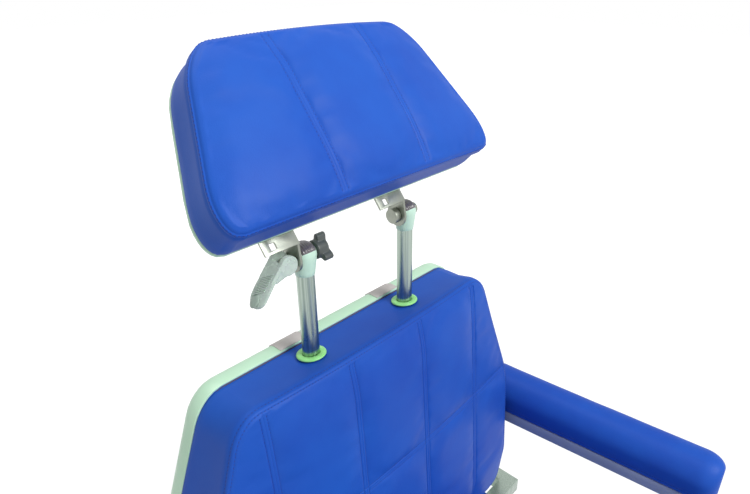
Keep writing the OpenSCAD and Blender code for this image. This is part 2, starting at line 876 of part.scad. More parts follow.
module back_frame() {
    color("dimgray") bed() {
        both() side(plate_x, plate_t) back_plate_side();
        block([-plate_x - plate_t, plate_x + plate_t], [bar_front - hinge_bar_t, bar_front], [bar_low, bar_high]);
        both() block([frame_bar_x - hinge_bar_w / 2, frame_bar_x + hinge_bar_w / 2], [bar_rear, bar_front],
            [bar_high, back_top - 2 * hinge_bar_w]);
        block([-frame_bar_x, frame_bar_x], [bar_rear, bar_front],
            [back_top - 3 * hinge_bar_w, back_top - 2 * hinge_bar_w]);
        side(-lever_x - lever_t, lever_t) back_lever_side();
        bar_x(-lever_x - lever_t, -rod_x + yoke_t / 2 + yoke_gap, -back_reach,
            -lever_r * cos(back_turn / 2), lever_pin_r);
    }
}

module back_board() {
    color("burlywood") on_back() translate([0, 0, bar_front]) linear_extrude(board_t)
        back_outline(wall + soft_gap);
}

slot_play = 1.5;
module back_shell() {
    deep = back_rear + back_shell_t;
    edge = back_shell_t * shell_edge_share;
    color("honeydew") on_back() difference() {
        translate([0, 0, -deep]) cover_slabs(back_shell_t) {
            back_outline(0);
            back_outline(edge / 3);
            back_outline(edge);
        }
        translate([0, 0, wall - deep]) cover_slabs(back_shell_t) {
            back_outline(wall);
            back_outline(edge / 3 + wall);
            back_outline(edge + wall);
        }
        for (s = [-1, 1]) translate([s * (plate_x + plate_t / 2) - plate_t / 2 - slot_play, 0, -deep + wall])
            cube([plate_t + 2 * slot_play, bar_high + slot_play, back_shell_t]);
        translate([-lever_x - lever_t - slot_play, 0, -deep - cut])
            cube([lever_t + 2 * slot_play, bar_low, back_shell_t + 2 * cut]);
        for (s = [-1, 1], k = back_screw_shares)
            translate([s * frame_bar_x, end_gap_r + k * back_len, -deep - cut])
                cylinder(r = screw_r + 2 * running, h = wall + 2 * cut);
    }
}

back_seams = [seam_x, seam_x + seam_step];
lumbar_fade = 100;
module back_cushion() {
    places = with_seams(stations(end_gap_r, back_top, waist_corner, back_corner_y, 5, 20),
        [back_top - cross_seam]);
    floor_z = -back_rear;
    color("royalblue") on_back() difference() {
        loft([for (w = places)
            let (u = back_top - w,
                up = w - end_gap_r,
                lumbar = lumbar_rise * min(1, u / (back_len * 0.8)) * (1 - 0.4 * max(0, 1 - up / lumbar_fade)),
                swell = end_share + (1 - end_share) * ramp(u / end_fade) * ramp(up / end_fade),
                rim = back_front + lumbar - corner(u, edge_round / 2, edge_round)
                    - corner(up, edge_round, edge_round),
                section = pad_section(back_half(w), floor_z, rim, face_crown * swell, back_seams,
                    near_seam(w, [back_top - cross_seam])))
            [for (p = section) [p[0], w + top_slope_share * p[1] * max(0, 1 - u / top_fade), p[1]]]]);
        for (s = [-1, 1]) {
            translate([s * post_gap / 2, back_top - guide_len - soft_gap, 0]) rotate([-90, 0, 0])
                cylinder(r = guide_r + soft_gap, h = guide_len + back_corner_y);
            translate([s * post_gap / 2 - guide_rib - soft_gap, back_top - guide_len - soft_gap, floor_z - cut])
                cube([2 * (guide_rib + soft_gap), guide_len + back_corner_y, cut - floor_z]);
        }
    }
}

guide_top = 6;
module post_guides() {
    floor_z = -back_rear;
    color("dimgray") on_back() for (s = [-1, 1]) difference() {
        union() {
            translate([s * post_gap / 2, back_top - guide_len, 0]) rotate([-90, 0, 0])
                cylinder(r = guide_r, h = guide_len - guide_top);
            translate([s * post_gap / 2 - guide_rib, back_top - guide_len, floor_z])
                cube([2 * guide_rib, guide_len - guide_top, -floor_z]);
        }
        translate([s * post_gap / 2, back_top - guide_len - cut, 0]) rotate([-90, 0, 0])
            cylinder(r = post_d / 2 + running, h = guide_len + cut);
    }
}

// A plastic collar round a post, lying on the sloping top of the upholstery.
module collar(s) {
    on_back() translate([s * post_gap / 2, back_top, 0]) difference() {
        union() {
            rotate([-90 - atan(top_slope_share), 0, 0]) translate([0, 0, soft_gap])
                cylinder(r = collar_r, h = collar_t);
            rotate([-90, 0, 0]) translate([0, 0, -guide_top]) cylinder(r = guide_r, h = guide_top + cut);
        }
        rotate([-90, 0, 0]) translate([0, 0, -guide_top - cut])
            cylinder(r = post_d / 2 + 2 * running, h = 2 * guide_r + collar_t);
    }
}

module collar_left() {
    color("palegreen") collar(-1);
}

module collar_right() {
    color("palegreen") collar(1);
}

// Grey straps over the top rim of the shell, one behind each post.
module shell_clips() {
    deep = back_rear + back_shell_t;
    edge = back_shell_t * shell_edge_share;
    bend = clip_t * 0.7;
    color("gray") bed() for (s = [-1, 1]) side(s * post_gap / 2 - clip_w / 2, clip_w) polygon([
        [-back_rear - clip_t, back_top], [edge - deep, back_top], [edge / 4 - deep, back_top - edge / 3],
        [-deep, back_top - edge], [-deep, back_top - edge - clip_drop],
        [-deep - clip_t, back_top - edge - clip_drop], [-deep - clip_t, back_top - edge],
        [edge / 4 - deep - bend, back_top - edge / 3 + bend], [edge - deep, back_top + clip_t],
        [-back_rear - clip_t, back_top + clip_t]]);
}

back_screw_shares = [0.2, 0.5, 0.8];
module back_screws() {
    deep = back_rear + back_shell_t;
    color("silver") on_back() for (s = [-1, 1], k = back_screw_shares)
        translate([s * frame_bar_x, end_gap_r + k * back_len, -deep]) {
            translate([0, 0, -screw_head_t]) cylinder(r = screw_head_r, h = screw_head_t);
            cylinder(r = screw_r, h = deep + bar_rear);
        }
}

// Posts, clamps, knobs and levers

module post(s) {
    bed() bar_z(back_top - post_in, back_top + tilt_rise - barrel_r / 2, s * post_gap / 2, 0, post_d / 2);
}

module post_left() {
    color("silver") post(-1);
}

module post_right() {
    color("silver") post(1);
}

// The fitting on top of a post: a sleeve that widens upward into a domed head with two flat cheeks.
module clamp(s) {
    x = s * post_gap / 2;
    bed() translate([0, 0, back_top]) difference() {
        intersection() {
            union() {
                translate([x, 0, post_show]) cylinder(r1 = sleeve_foot_r, r2 = barrel_r, h = sleeve_h);
                translate([x, 0, tilt_rise]) sphere(r = barrel_r);
            }
            block([x - barrel_half, x + barrel_half], [-barrel_r, barrel_r], [post_show, tilt_rise + barrel_r]);
        }
        bar_z(post_show - cut, tilt_rise - barrel_r / 2, x, 0, post_d / 2);
        bar_x(x - barrel_half - cut, x + barrel_half + cut, 0, tilt_rise, bolt_r);
    }
}

module clamp_left() {
    color("honeydew") clamp(-1);
}

module clamp_right() {
    color("honeydew") clamp(1);
}

ear_gap = 0.5;
ear_x = barrel_half + ear_gap;
bolt_out = ear_x + ear_t + cam_pin_off;
knob_x = barrel_half + soft_gap;
bolt_eye_t = 6;
bolt_head_r = 10;
bolt_head_t = 9;
bolt_nut_r = 8;
bolt_nut_t = 3;
ear_out = ear_x + ear_t;

// The left clamp's bolt ends in a cam lever and a knob, the right one's in a plain head and nut.
module clamp_bolts() {
    head_x = -ear_out - ear_gap;
    color("silver") bed() {
        translate([-post_gap / 2, 0, back_top + tilt_rise]) {
            bar_x(-bolt_out, knob_x + knob_len - wall, 0, 0, bolt_r);
            translate([-bolt_out, 0, 0]) rotate([90, 0, 0])
                cylinder(r = lever_slot, h = bolt_eye_t, center = true);
            translate([-bolt_out, 0, 0]) rotate([90, 0, 0]) cylinder(r = cam_pin_r, h = lever_w, center = true);
        }
        translate([post_gap / 2, 0, back_top + tilt_rise]) {
            bar_x(head_x - bolt_head_t, knob_x + bolt_nut_t, 0, 0, bolt_r);
            bar_x(head_x - bolt_head_t, head_x, 0, 0, bolt_head_r);
            bar_x(knob_x, knob_x + bolt_nut_t, 0, 0, bolt_nut_r);
        }
    }
}

// A knob with three lobes on the left bolt's inner end.
knob_lobes = 3;
module knob_left() {
    color("dimgray") bed() translate([-post_gap / 2 + knob_x, 0, back_top + tilt_rise]) difference() {
        union() {
            rotate([0, 90, 0]) cylinder(r = knob_r, h = knob_len);
            translate([knob_len * 0.25, 0, 0]) for (i = [0 : knob_lobes - 1]) rotate([i * 360 / knob_lobes, 0, 0])
                translate([0, -knob_r * 0.35, 0]) cube([knob_len * 0.7, knob_r * 0.7, knob_wing]);
        }
        rotate([0, 90, 0]) translate([0, 0, -cut]) cylinder(r = bolt_r + running, h = knob_len - wall + cut);
    }
}

// A cam lever on the left bolt's outer end, turned by its angle from where it hangs straight down.
lever_grip_t = 7;
slot_gap = 1;
module lever_left() {
    half = lever_slot + slot_gap;
    color("gainsboro") bed() translate([-post_gap / 2 - bolt_out, 0, back_top + tilt_rise]) rotate([0, lever_open, 0])
        difference() {
            union() {
                rotate([90, 0, 0]) cylinder(r = lever_cam_r, h = lever_w, center = true);
                translate([-lever_cam_r, -lever_w / 2, lever_w / 2 - lever_len])
                    cube([lever_grip_t, lever_w, lever_len - lever_w / 2]);
                translate([-lever_cam_r, 0, lever_w / 2 - lever_len]) rotate([0, 90, 0])
                    cylinder(r = lever_w / 2, h = lever_grip_t);
            }
            rotate([90, 0, 0]) cylinder(r = cam_pin_r + running, h = lever_w + 2 * cut, center = true);
            translate([-half, -half, -half]) cube([2 * lever_cam_r, 2 * half, 2 * lever_cam_r]);
        }
}

// Headrest

bracket_len = 75;
bracket_high = head_low + bracket_len;
bracket_low = 10;
bracket_w = 46;
tab_hole = 8;
tab_hole_x = 9.5;
head_screw_out = 9.5;
head_screw_gap = 26;
head_screw_x = [ear_x + head_screw_out, ear_x + head_screw_out + head_screw_gap];
head_screw_first = 22;
head_screw_step = 38;
head_screw_y = [head_low + head_screw_first, head_low + head_screw_first + head_screw_step];
module head_bracket(s) {
    x = s * post_gap / 2;
    difference() {
        union() {
            translate([x - ear_out, 0, 0]) rotate([90, 0, 90]) linear_extrude(ear_t) {
                circle(r = ear_r);
                polygon([[-ear_r * 0.5, ear_r * 0.87], [ear_r * 0.87, -ear_r * 0.5], [head_low, head_rear - flange_head_t],
                    [bracket_high, head_rear - flange_head_t], [bracket_high, head_rear], [head_low * 0.5, head_rear]]);
            }
            translate([x - ear_x - bracket_w, bracket_low, head_rear - flange_head_t])
                cube([bracket_w, bracket_high - bracket_low, flange_head_t]);
        }
        translate([x - ear_out - cut, 0, 0]) rotate([0, 90, 0])
            cylinder(r = bolt_r + running, h = ear_t + 2 * cut);
        translate([x - ear_x - bracket_w + tab_hole_x, bracket_low + tab_hole / 2, head_rear - flange_head_t - cut])
            cube([tab_hole, tab_hole, flange_head_t + 2 * cut]);
        for (e = head_screw_x, y = head_screw_y) translate([x - e, y, head_rear - flange_head_t - cut])
            cylinder(r = screw_r + running, h = flange_head_t + 2 * cut);
    }
}

module head_brackets() {
    color("silver") on_head() for (s = [-1, 1]) head_bracket(s);
}

module head_board() {
    color("burlywood") on_head() translate([0, 0, head_rear + wall]) linear_extrude(head_shell_t - wall)
        head_outline(2 * wall + soft_gap);
}

module head_shell() {
    color("white") on_head() translate([0, 0, head_rear]) difference() {
        cover_slabs(head_shell_t) {
            head_outline(0);
            head_outline(head_shell_t / 6);
            head_outline(head_shell_t / 2);
        }
        translate([0, 0, wall]) linear_extrude(head_shell_t) head_outline(2 * wall);
        for (s = [-1, 1], e = head_screw_x, y = head_screw_y)
            translate([s * post_gap / 2 - e, y, -cut])
                cylinder(r = screw_r + 2 * running, h = wall + 2 * cut);
    }
}

module head_screws() {
    color("silver") on_head() for (s = [-1, 1], e = head_screw_x, y = head_screw_y)
        translate([s * post_gap / 2 - e, y, head_rear - flange_head_t]) {
            translate([0, 0, -screw_head_t]) cylinder(r = screw_head_r, h = screw_head_t);
            cylinder(r = screw_r, h = flange_head_t + wall);
        }
}

head_seams = [head_seam_x];
module head_cushion() {
    floor_z = head_rear + head_shell_t;
    rim_z = head_rear + head_shell_t + head_side_t;
    color("royalblue") on_head()
        loft([for (y = stations(head_low, head_low + head_len, head_corner_y, head_top_corner_y, 8, 20))
            let (v = y - head_low,
                swell = end_share + (1 - end_share) * ramp(v / end_fade) * ramp((head_len - v) / end_fade),
                rim = rim_z - corner(v, edge_round, edge_round) - corner(head_len - v, edge_round, edge_round),
                section = pad_section(head_half(y), floor_z, rim, head_crown * swell, head_seams, 0))
            [for (p = section) [p[0], y, p[1]]]]);
}

// Armrests

module arm_frame(s) {
    bed() translate([s * arm_x, -arm_pivot_n, arm_pivot_z + arm_pivot_drop]) rotate([0, 0, s * arm_splay])
        rotate([0, 0, 180]) children();
}

arm_end = 34;
module arm_tray(s) {
    half = arm_w / 2 - tray_inset;
    difference() {
        union() {
            arm_frame(s) {
                translate([-half, arm_rear + tray_inset, 0])
                    cube([2 * half, arm_len - arm_end - 2 * tray_inset, tray_t]);
                translate([0, arm_len + arm_rear - arm_end - tray_inset, 0]) intersection() {
                    cylinder(r = half, h = tray_t);
                    translate([-half, -half, 0]) cube([2 * half, half + arm_end - tray_inset, tray_t]);
                }
            }
            for (e = [-1, 1]) bed() side(s * arm_x + e * (arm_head_half + lug_gap + lug_t / 2) - lug_t / 2, lug_t)
                translate([arm_pivot_n, arm_pivot_z]) union() {
                    circle(r = arm_eye_r);
                    translate([-arm_eye_r, 0]) square([2.5 * arm_eye_r, arm_pivot_drop + cut]);
                }
        }
        bed() bar_x(s * arm_x - arm_w, s * arm_x + arm_w, arm_pivot_n, arm_pivot_z, arm_pin_r + running);
    }
}

module arm_tray_left() {
    color("lightgray") arm_tray(-1);
}

module arm_tray_right() {
    color("lightgray") arm_tray(1);
}

arm_side_share = 0.38;
arm_sweep = [15:15:165];
arm_heel = 6;
arm_waist = 2;
module arm_cushion(s) {
    places = concat([for (i = [0:3]) arm_rear + edge_round * (1 - cos(90 * i / 4))],
        [for (i = [0:9]) arm_rear + edge_round + (arm_len - edge_round - arm_end) * i / 9],
        [for (i = [1:6]) arm_rear + arm_len - arm_end * (1 - sin(90 * i / 6))]);
    arm_frame(s) translate([0, 0, tray_t]) loft([for (y = places)
        let (u = y - arm_rear,
            v = arm_len - u,
            half = arm_w / 2 - corner(v, arm_w * 0.3, arm_end) - corner(u, arm_heel, edge_round)
                - arm_waist * sin(180 * u / arm_len),
            tall = arm_h - corner(v, arm_h * 0.25, arm_end) - corner(u, arm_heel, edge_round),
            low = tall * arm_side_share)
        concat([[half * 0.9, y, 0], [half, y, low / 3], [half, y, low]],
            [for (a = arm_sweep) [half * cos(a), y, low + (tall - low) * sin(a)]],
            [[-half, y, low], [-half, y, low / 3], [-half * 0.9, y, 0]])]);
}

module arm_cushion_left() {
    color("royalblue") arm_cushion(-1);
}

module arm_cushion_right() {
    color("royalblue") arm_cushion(1);
}

// Legrest

leg_bar_v = [end_gap_r + hinge_bar_low, end_gap_r + hinge_bar_low + hinge_bar_w];
leg_bar_z = [wall - nose_r, pad_floor - board_t];
module leg_plate_side() {
    difference() {
        union() {
            circle(r = hub_r);
            polygon([[hub_r * 0.3, hub_r * 0.95], [leg_bar_v[1], leg_bar_z[1]], [leg_bar_v[1], leg_bar_z[0]],
                [leg_bar_v[0], leg_bar_z[0]], [-hub_r * 0.3, -hub_r * 0.95]]);
        }
        circle(r = pin_r + running);
    }
}

module leg_lever_side() {
    eye = [leg_reach, -lever_r * cos(leg_turn / 2)];
    polygon([[leg_bar_v[0], leg_bar_z[1]], [leg_bar_v[1], leg_bar_z[1]],
        [leg_bar_v[1], leg_bar_z[0]], [eye[0] + lever_eye_r, eye[1]], [eye[0] - lever_eye_r, eye[1]],
        [leg_bar_v[0], leg_bar_z[0]]]);
    translate(eye) circle(r = lever_eye_r);
}

module leg_frame() {
    far = leg_end - leg_corner - hinge_bar_w;
    color("dimgray") bed() translate([0, -seat_span, 0]) {
        both() side(plate_x, plate_t) leg_plate_side();
        block([-plate_x - plate_t, plate_x + plate_t], leg_bar_v, leg_bar_z);
        both() block([frame_bar_x - hinge_bar_w / 2, frame_bar_x + hinge_bar_w / 2],
            [leg_bar_v[1], far], leg_bar_z);
        block([-frame_bar_x, frame_bar_x], [far - hinge_bar_w, far], leg_bar_z);
        side(lever_x, lever_t) leg_lever_side();
        bar_x(rod_x - yoke_t / 2 - yoke_gap, lever_x + lever_t, leg_reach, -lever_r * cos(leg_turn / 2),
            lever_pin_r);
    }
}

module leg_board() {
    color("burlywood") on_seat(seat_span) translate([0, 0, pad_floor - board_t])
        linear_extrude(board_t) leg_outline(2 * wall);
}

module leg_shell() {
    deep = nose_r + pad_floor;
    edge = deep * shell_edge_share;
    color("white") on_seat(seat_span) difference() {
        translate([0, 0, -nose_r]) cover_slabs(deep) {
            leg_outline(0);
            leg_outline(edge / 3);
            leg_outline(edge);
        }
        translate([0, 0, wall - nose_r]) cover_slabs(deep) {
            leg_outline(wall);
            leg_outline(edge / 3 + wall);
            leg_outline(edge + wall);
        }
        translate([-seat_half - cut, leg_bar_v[0] - slot_play, wall - nose_r])
            cube([seat_w + 2 * cut, hinge_bar_w + 2 * slot_play, deep - wall - board_t + slot_play]);
        translate([-lever_x - lever_t - slot_play, end_gap_r - cut, -nose_r - cut])
            cube([lever_t + yoke_t + 2 * yoke_gap + 2 * slot_play, hinge_bar_low + hinge_bar_w + slot_play + cut,
                deep]);
    }
}

leg_crown = 8;
leg_cross_seams = [end_gap_r + leg_len / 2];
module leg_cushion() {
    places = with_seams(stations(end_gap_r, leg_end, edge_round, leg_corner, 5, 14), leg_cross_seams);
    color("royalblue") on_seat(seat_span) loft([for (v = places)
        let (u = v - end_gap_r,
            t = leg_end - v,
            swell = end_share + (1 - end_share) * ramp(u / end_fade) * ramp(t / end_fade),
            rim = nose_r * seat_rim_share - corner(u, edge_round / 2, edge_round) - corner(t, 3 * edge_round, leg_corner),
            section = pad_section(leg_half(v), pad_floor, rim,
                (nose_r * (1 - seat_rim_share) + leg_crown) * swell, seat_seams, near_seam(v, leg_cross_seams)))
        [for (p = section) [p[0], v, p[1]]]]);
}

base_frame();
base_feet();
base_cover();
column_outer();
lift_motor();
lift_tube();
control_box();
power_inlet();
cover_screws();
column_inner();
column_glides();
lift_rod();
seat_frame();
seat_board();
seat_shell();
seat_cushion();
back_actuator();
leg_actuator();
hinge_pins();
arm_posts();
arm_pins();
switch_plate();
back_rod();
leg_rod();
back_frame();
back_board();
back_shell();
back_cushion();
post_guides();
collar_left();
collar_right();
shell_clips();
back_screws();
post_left();
post_right();
clamp_left();
clamp_right();
clamp_bolts();
knob_left();
lever_left();
head_brackets();
head_board();
head_shell();
head_cushion();
head_screws();
arm_tray_left();
arm_tray_right();
arm_cushion_left();
arm_cushion_right();
leg_frame();
leg_board();
leg_shell();
leg_cushion();
rocker_lift();
rocker_back();
rocker_leg();
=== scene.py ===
"""Facial bed: its looks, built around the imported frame. Sizes are in millimetres unless a name says otherwise."""
import json
from math import asin, atan, ceil, copysign, cos, pi, radians, sin, sqrt

import bmesh
import bpy
import numpy as np
from mathutils import Matrix, Vector, noise

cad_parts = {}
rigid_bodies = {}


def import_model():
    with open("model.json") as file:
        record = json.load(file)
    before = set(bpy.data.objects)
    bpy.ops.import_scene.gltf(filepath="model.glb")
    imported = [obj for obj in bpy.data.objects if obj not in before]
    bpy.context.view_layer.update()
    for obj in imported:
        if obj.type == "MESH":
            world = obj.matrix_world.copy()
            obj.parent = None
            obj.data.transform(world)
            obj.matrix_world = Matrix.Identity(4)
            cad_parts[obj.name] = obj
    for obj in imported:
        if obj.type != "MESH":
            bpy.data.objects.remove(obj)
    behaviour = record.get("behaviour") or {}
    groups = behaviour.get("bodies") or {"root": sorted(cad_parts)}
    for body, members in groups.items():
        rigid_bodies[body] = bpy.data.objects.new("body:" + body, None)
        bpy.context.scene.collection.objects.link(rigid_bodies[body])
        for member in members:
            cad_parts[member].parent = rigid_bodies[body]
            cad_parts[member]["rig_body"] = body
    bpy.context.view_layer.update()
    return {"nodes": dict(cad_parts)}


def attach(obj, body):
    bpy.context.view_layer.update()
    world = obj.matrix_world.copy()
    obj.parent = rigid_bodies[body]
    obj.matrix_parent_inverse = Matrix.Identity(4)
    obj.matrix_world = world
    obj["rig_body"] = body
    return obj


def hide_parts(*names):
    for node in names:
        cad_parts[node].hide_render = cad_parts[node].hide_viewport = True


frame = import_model()

MM = 0.001
SCENE = bpy.context.scene

# Driving sizes of the bed, as the frame has them
BACK_Y = 417.5
PIVOT_Z = 550.0
SEAT_SPAN = 500.0
NOSE_R = 50.0
END_GAP = 55.0
BACK_LEN = 505.0
BACK_TOP = END_GAP + BACK_LEN
BACK_W = 620.0
BACK_TOP_W = 451.0
SHOULDER_DROP = 228.0
SHOULDER_BLEND = 40.0
BACK_FRONT = 42.0
BACK_REAR = 33.0
SHELL_T = 29.0
LUMBAR = 27.0
POST_X = 88.0
POST_R = 11.0
POST_SHOW = 117.6
SLEEVE_H = 25.4
TILT_Z = BACK_TOP + POST_SHOW + SLEEVE_H
HEAD_LEAN = radians(39)
HEAD_LOW = 26.0
HEAD_LEN = 206.0
HEAD_W = 452.0
HEAD_TOP_W = 320.0
HEAD_REAR = 26.0
HEAD_SHELL_T = 8.0
HEAD_SIDE = 58.0
HEAD_CROWN = 18.0
HEAD_CORNER = (34.0, 62.0)
HEAD_TOP_CORNER = (30.0, 52.0)
SEAT_W = 570.0
LEG_LEN = 480.0
LEG_END = END_GAP + LEG_LEN
LEG_END_W = 470.0
PAD_FLOOR = -22.0
SEAM_X = (65.0, 195.0)
HEAD_SEAM_X = (68.0,)
SEAM_HALF = 4.4
CROSS_SEAM = 210.0
ARM_X = 364.0
ARM_W = 84.0
ARM_LEN = 430.0
ARM_H = 66.0
ARM_Z = 196.0
TRAY_T = 22.0
ARM_SPLAY = radians(5)
TOP_LEAN = 0.11
BARREL_R = 15.5
BARREL_HALF = 14.0
RIB_PITCH = 2.9
KNOB_X = 14.3
LEVER_LEN = 62.0
LEVER_CAM = 12.0
LEVER_OUT = 29.8
LEVER_W = 24.0
LEVER_OPEN = 41
BASE_REAR = 200.0
BASE_FRONT = 490.0
BASE_W = 450.0
COVER_LOW = 18.0
COVER_TOP = 130.0
COLUMN_N = 250.0
COLUMN_TOP = 410.0
SIDES = ((-1, "left"), (1, "right"))


def local_frame(origin, x_axis, y_axis, z_axis):
    """A place's origin in metres and its three axes as rows."""
    return np.array(origin, float) * MM, np.array([x_axis, y_axis, z_axis], float)


def upright(x, y, z):
    """A place whose axes are the world's."""
    return local_frame((x, y, z), (1, 0, 0), (0, 1, 0), (0, 0, 1))


GROUND = upright(0, 0, 0)
BACK = local_frame((0, BACK_Y, PIVOT_Z), (1, 0, 0), (0, 0, 1), (0, -1, 0))
HEAD = local_frame((0, BACK_Y, PIVOT_Z + TILT_Z), (1, 0, 0),
                   (0, sin(HEAD_LEAN), cos(HEAD_LEAN)), (0, -cos(HEAD_LEAN), sin(HEAD_LEAN)))
SEAT = local_frame((0, BACK_Y, PIVOT_Z), (-1, 0, 0), (0, -1, 0), (0, 0, 1))
LEG = local_frame((0, BACK_Y - SEAT_SPAN, PIVOT_Z), (-1, 0, 0), (0, -1, 0), (0, 0, 1))


def to_world(points, place):
    """Points of a local frame, in millimetres, as world points in metres."""
    origin, axes = place
    return origin + (np.asarray(points, float) * MM) @ axes


# Pieces

def placed(name, data):
    """A new object in the scene."""
    made = bpy.data.objects.new(name, data)
    SCENE.collection.objects.link(made)
    return made


def closed_mesh(name, points, faces, place):
    """A mesh from points of a local frame, with its faces turned outward."""
    mesh = bpy.data.meshes.new(name)
    mesh.from_pydata(to_world(points, place), [], faces)
    draft = bmesh.new()
    draft.from_mesh(mesh)
    bmesh.ops.recalc_face_normals(draft, faces=draft.faces)
    draft.to_mesh(mesh)
    draft.free()
    return mesh


def shaded_smooth(mesh):
    mesh.polygons.foreach_set("use_smooth", [True] * len(mesh.polygons))


def make(name, points, faces, place, body, slot, material, replaces=(), smooth=True):
    """A mesh piece that rides on a body and may stand for nodes of the frame."""
    mesh = closed_mesh(name, points, faces, place)
    mesh.validate()
    if smooth:
        shaded_smooth(mesh)
    piece = placed(name, mesh)
    mesh.materials.append(MATERIALS[material])
    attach(piece, body)
    if replaces:
        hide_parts(*replaces)
    return piece


def apply_modifiers(piece):
    """Puts what the modifiers give into the mesh itself."""
    bpy.context.view_layer.update()
    graph = bpy.context.evaluated_depsgraph_get()
    mesh = bpy.data.meshes.new_from_object(piece.evaluated_get(graph))
    piece.modifiers.clear()
    piece.data = mesh


def sharpen(piece, degrees):
    """Keeps edges steeper than this sharp in a smooth mesh."""
    piece.data.set_sharp_from_angle(angle=radians(degrees))


def subtract(piece, cutters, degrees):
    """Cuts closed meshes out of a piece, then marks its sharp edges."""
    for cutter in cutters:
        cut = piece.modifiers.new("cut", "BOOLEAN")
        cut.operation, cut.solver, cut.object = "DIFFERENCE", "EXACT", cutter
        apply_modifiers(piece)
        bpy.data.objects.remove(cutter)
    sharpen(piece, degrees)


def cutter(points, faces, place):
    return placed("cutter", closed_mesh("cutter", points, faces, place))


def cutter_box(low, high, place):
    """A box that cuts, between two corners in a local frame."""
    corners = [(x, y, z) for x in (low[0], high[0]) for y in (low[1], high[1]) for z in (low[2], high[2])]
    faces = [(0, 1, 3, 2), (4, 6, 7, 5), (0, 4, 5, 1), (2, 3, 7, 6), (0, 2, 6, 4), (1, 5, 7, 3)]
    return cutter(corners, faces, place)


def ring_faces(start, count, rings):
    """Quads between closed rings of equal length that follow one another."""
    return [(start + k * count + i, start + k * count + (i + 1) % count,
             start + (k + 1) * count + (i + 1) % count, start + (k + 1) * count + i)
            for k in range(rings - 1) for i in range(count)]


def skinned(count, rings):
    """Faces of a closed form made of rings alone."""
    last = (rings - 1) * count
    return ring_faces(0, count, rings) + [tuple(range(count))[::-1], tuple(range(last, last + count))]


def lathe(profile, sides):
    """Points and faces of a closed turned form from (radius, height) pairs, along its local z."""
    angles = [2 * pi * i / sides for i in range(sides)]
    points = [(r * cos(a), r * sin(a), z) for r, z in profile for a in angles]
    rings = len(profile)
    return points, skinned(sides, rings) if profile[0] != profile[-1] else ring_faces(0, sides, rings)


def joined(forms):
    """Several forms as one list of points and one of faces."""
    points, faces = [], []
    for form_points, form_faces in forms:
        start = len(points)
        points += [tuple(p) for p in form_points]
        faces += [tuple(start + i for i in f) for f in form_faces]
    return points, faces


# Outlines

def corner(u, a, b):
    """How far a rounded corner pulls an outline in, at distance u from its end."""
    return a * (1 - sqrt(max(0.0, 1 - (1 - u / b) ** 2))) if u < b else 0.0


def ramp(t):
    return sin(pi / 2 * min(1.0, max(0.0, t)))


def back_half(w):
    """Half width of the backrest at height w above its hinge."""
    u = BACK_TOP - w
    rise = (BACK_W - BACK_TOP_W) / 2 / SHOULDER_DROP
    over = u - SHOULDER_DROP
    bend = (SHOULDER_BLEND - abs(over)) ** 2 / 4 / SHOULDER_BLEND if abs(over) < SHOULDER_BLEND else 0
    straight = BACK_TOP_W / 2 + rise * min(u, SHOULDER_DROP) - rise * bend
    return straight - corner(u, 28, 32) - corner(w - END_GAP, 36, 36)


def head_half(y):
    """Half width of the headrest at distance y above its tilt axis."""
    v = y - HEAD_LOW
    return HEAD_W / 2 - (HEAD_W - HEAD_TOP_W) / 2 * v / HEAD_LEN - corner(v, *HEAD_CORNER) \
        - corner(HEAD_LEN - v, *HEAD_TOP_CORNER)


def leg_half(v):
    """Half width of the legrest at distance v from its hinge."""
    taper = (SEAT_W - LEG_END_W) / 2 * max(0.0, v - END_GAP) / LEG_LEN
    return SEAT_W / 2 - taper - corner(LEG_END - v, 60, 60) - corner(v - END_GAP, 12, 12)


class Outline:
    """A symmetric convex outline from its half width along y, kept as its right half's points and normals."""

    def __init__(self, half, low, high, low_corner, high_corner):
        self.low, self.high = low, high
        steps = np.linspace(0, pi / 2, 90)
        places = np.concatenate([low + low_corner * (1 - np.cos(steps)),
                                 np.linspace(low + low_corner, high - high_corner, 260)[1:-1],
                                 high - high_corner * (1 - np.sin(steps))])
        self.points = np.array([(half(min(max(y, low), high)), y) for y in places])
        along = np.gradient(self.points, axis=0)
        along /= np.linalg.norm(along, axis=1)[:, None]
        self.normals = np.stack([along[:, 1], -along[:, 0]], axis=1)
        self.normals[0], self.normals[-1] = (0, -1), (0, 1)

    def at(self, y, depth):
        """Half width and outward normal, at y, of the outline moved inward by a depth."""
        curve = self.points - self.normals * depth
        order = np.maximum.accumulate(curve[:, 1])
        n = np.array([np.interp(y, order, part) for part in self.normals.T])
        return float(np.interp(y, order, curve[:, 0])), n / np.linalg.norm(n)

    def distance(self, points):
        """How deep points lie inside the outline, in its own plane."""
        x, y = np.abs(points[:, 0]), points[:, 1]
        reach = np.hypot(x[:, None] - self.points[:, 0], y[:, None] - self.points[:, 1]).min(axis=1)
        flat = np.minimum(y - self.low, self.high - y)
        return np.minimum(reach, np.where(x < self.points[:, 0].min(), flat, 1e9))


BACK_LINE = Outline(back_half, END_GAP, BACK_TOP, 36, 32)
HEAD_LINE = Outline(head_half, HEAD_LOW, HEAD_LOW + HEAD_LEN, HEAD_CORNER[1], HEAD_TOP_CORNER[1])
LEG_LINE = Outline(leg_half, END_GAP, LEG_END, 12, 60)

# Seams: the cover's depth at places beside a twin-stitched seam's middle, where grid lines run too
SEAM_LINES = (0.0, 1.0, 2.4, 3.6, 4.4, 5.2, 7.0, 10.0, 14.0)
SEAM_DEPTHS = (-1.15, -0.55, -0.45, -0.85, -1.5, -0.95, -0.45, -0.15, 0.0)
PUFF_REACH = 17.0
SEWN_REACH = 5.3
COVER_SLACK = 0.012
BLOW_FRAMES = 20
COVER_PRESSURE = 4.0
LIFT_LIMIT = 2.5


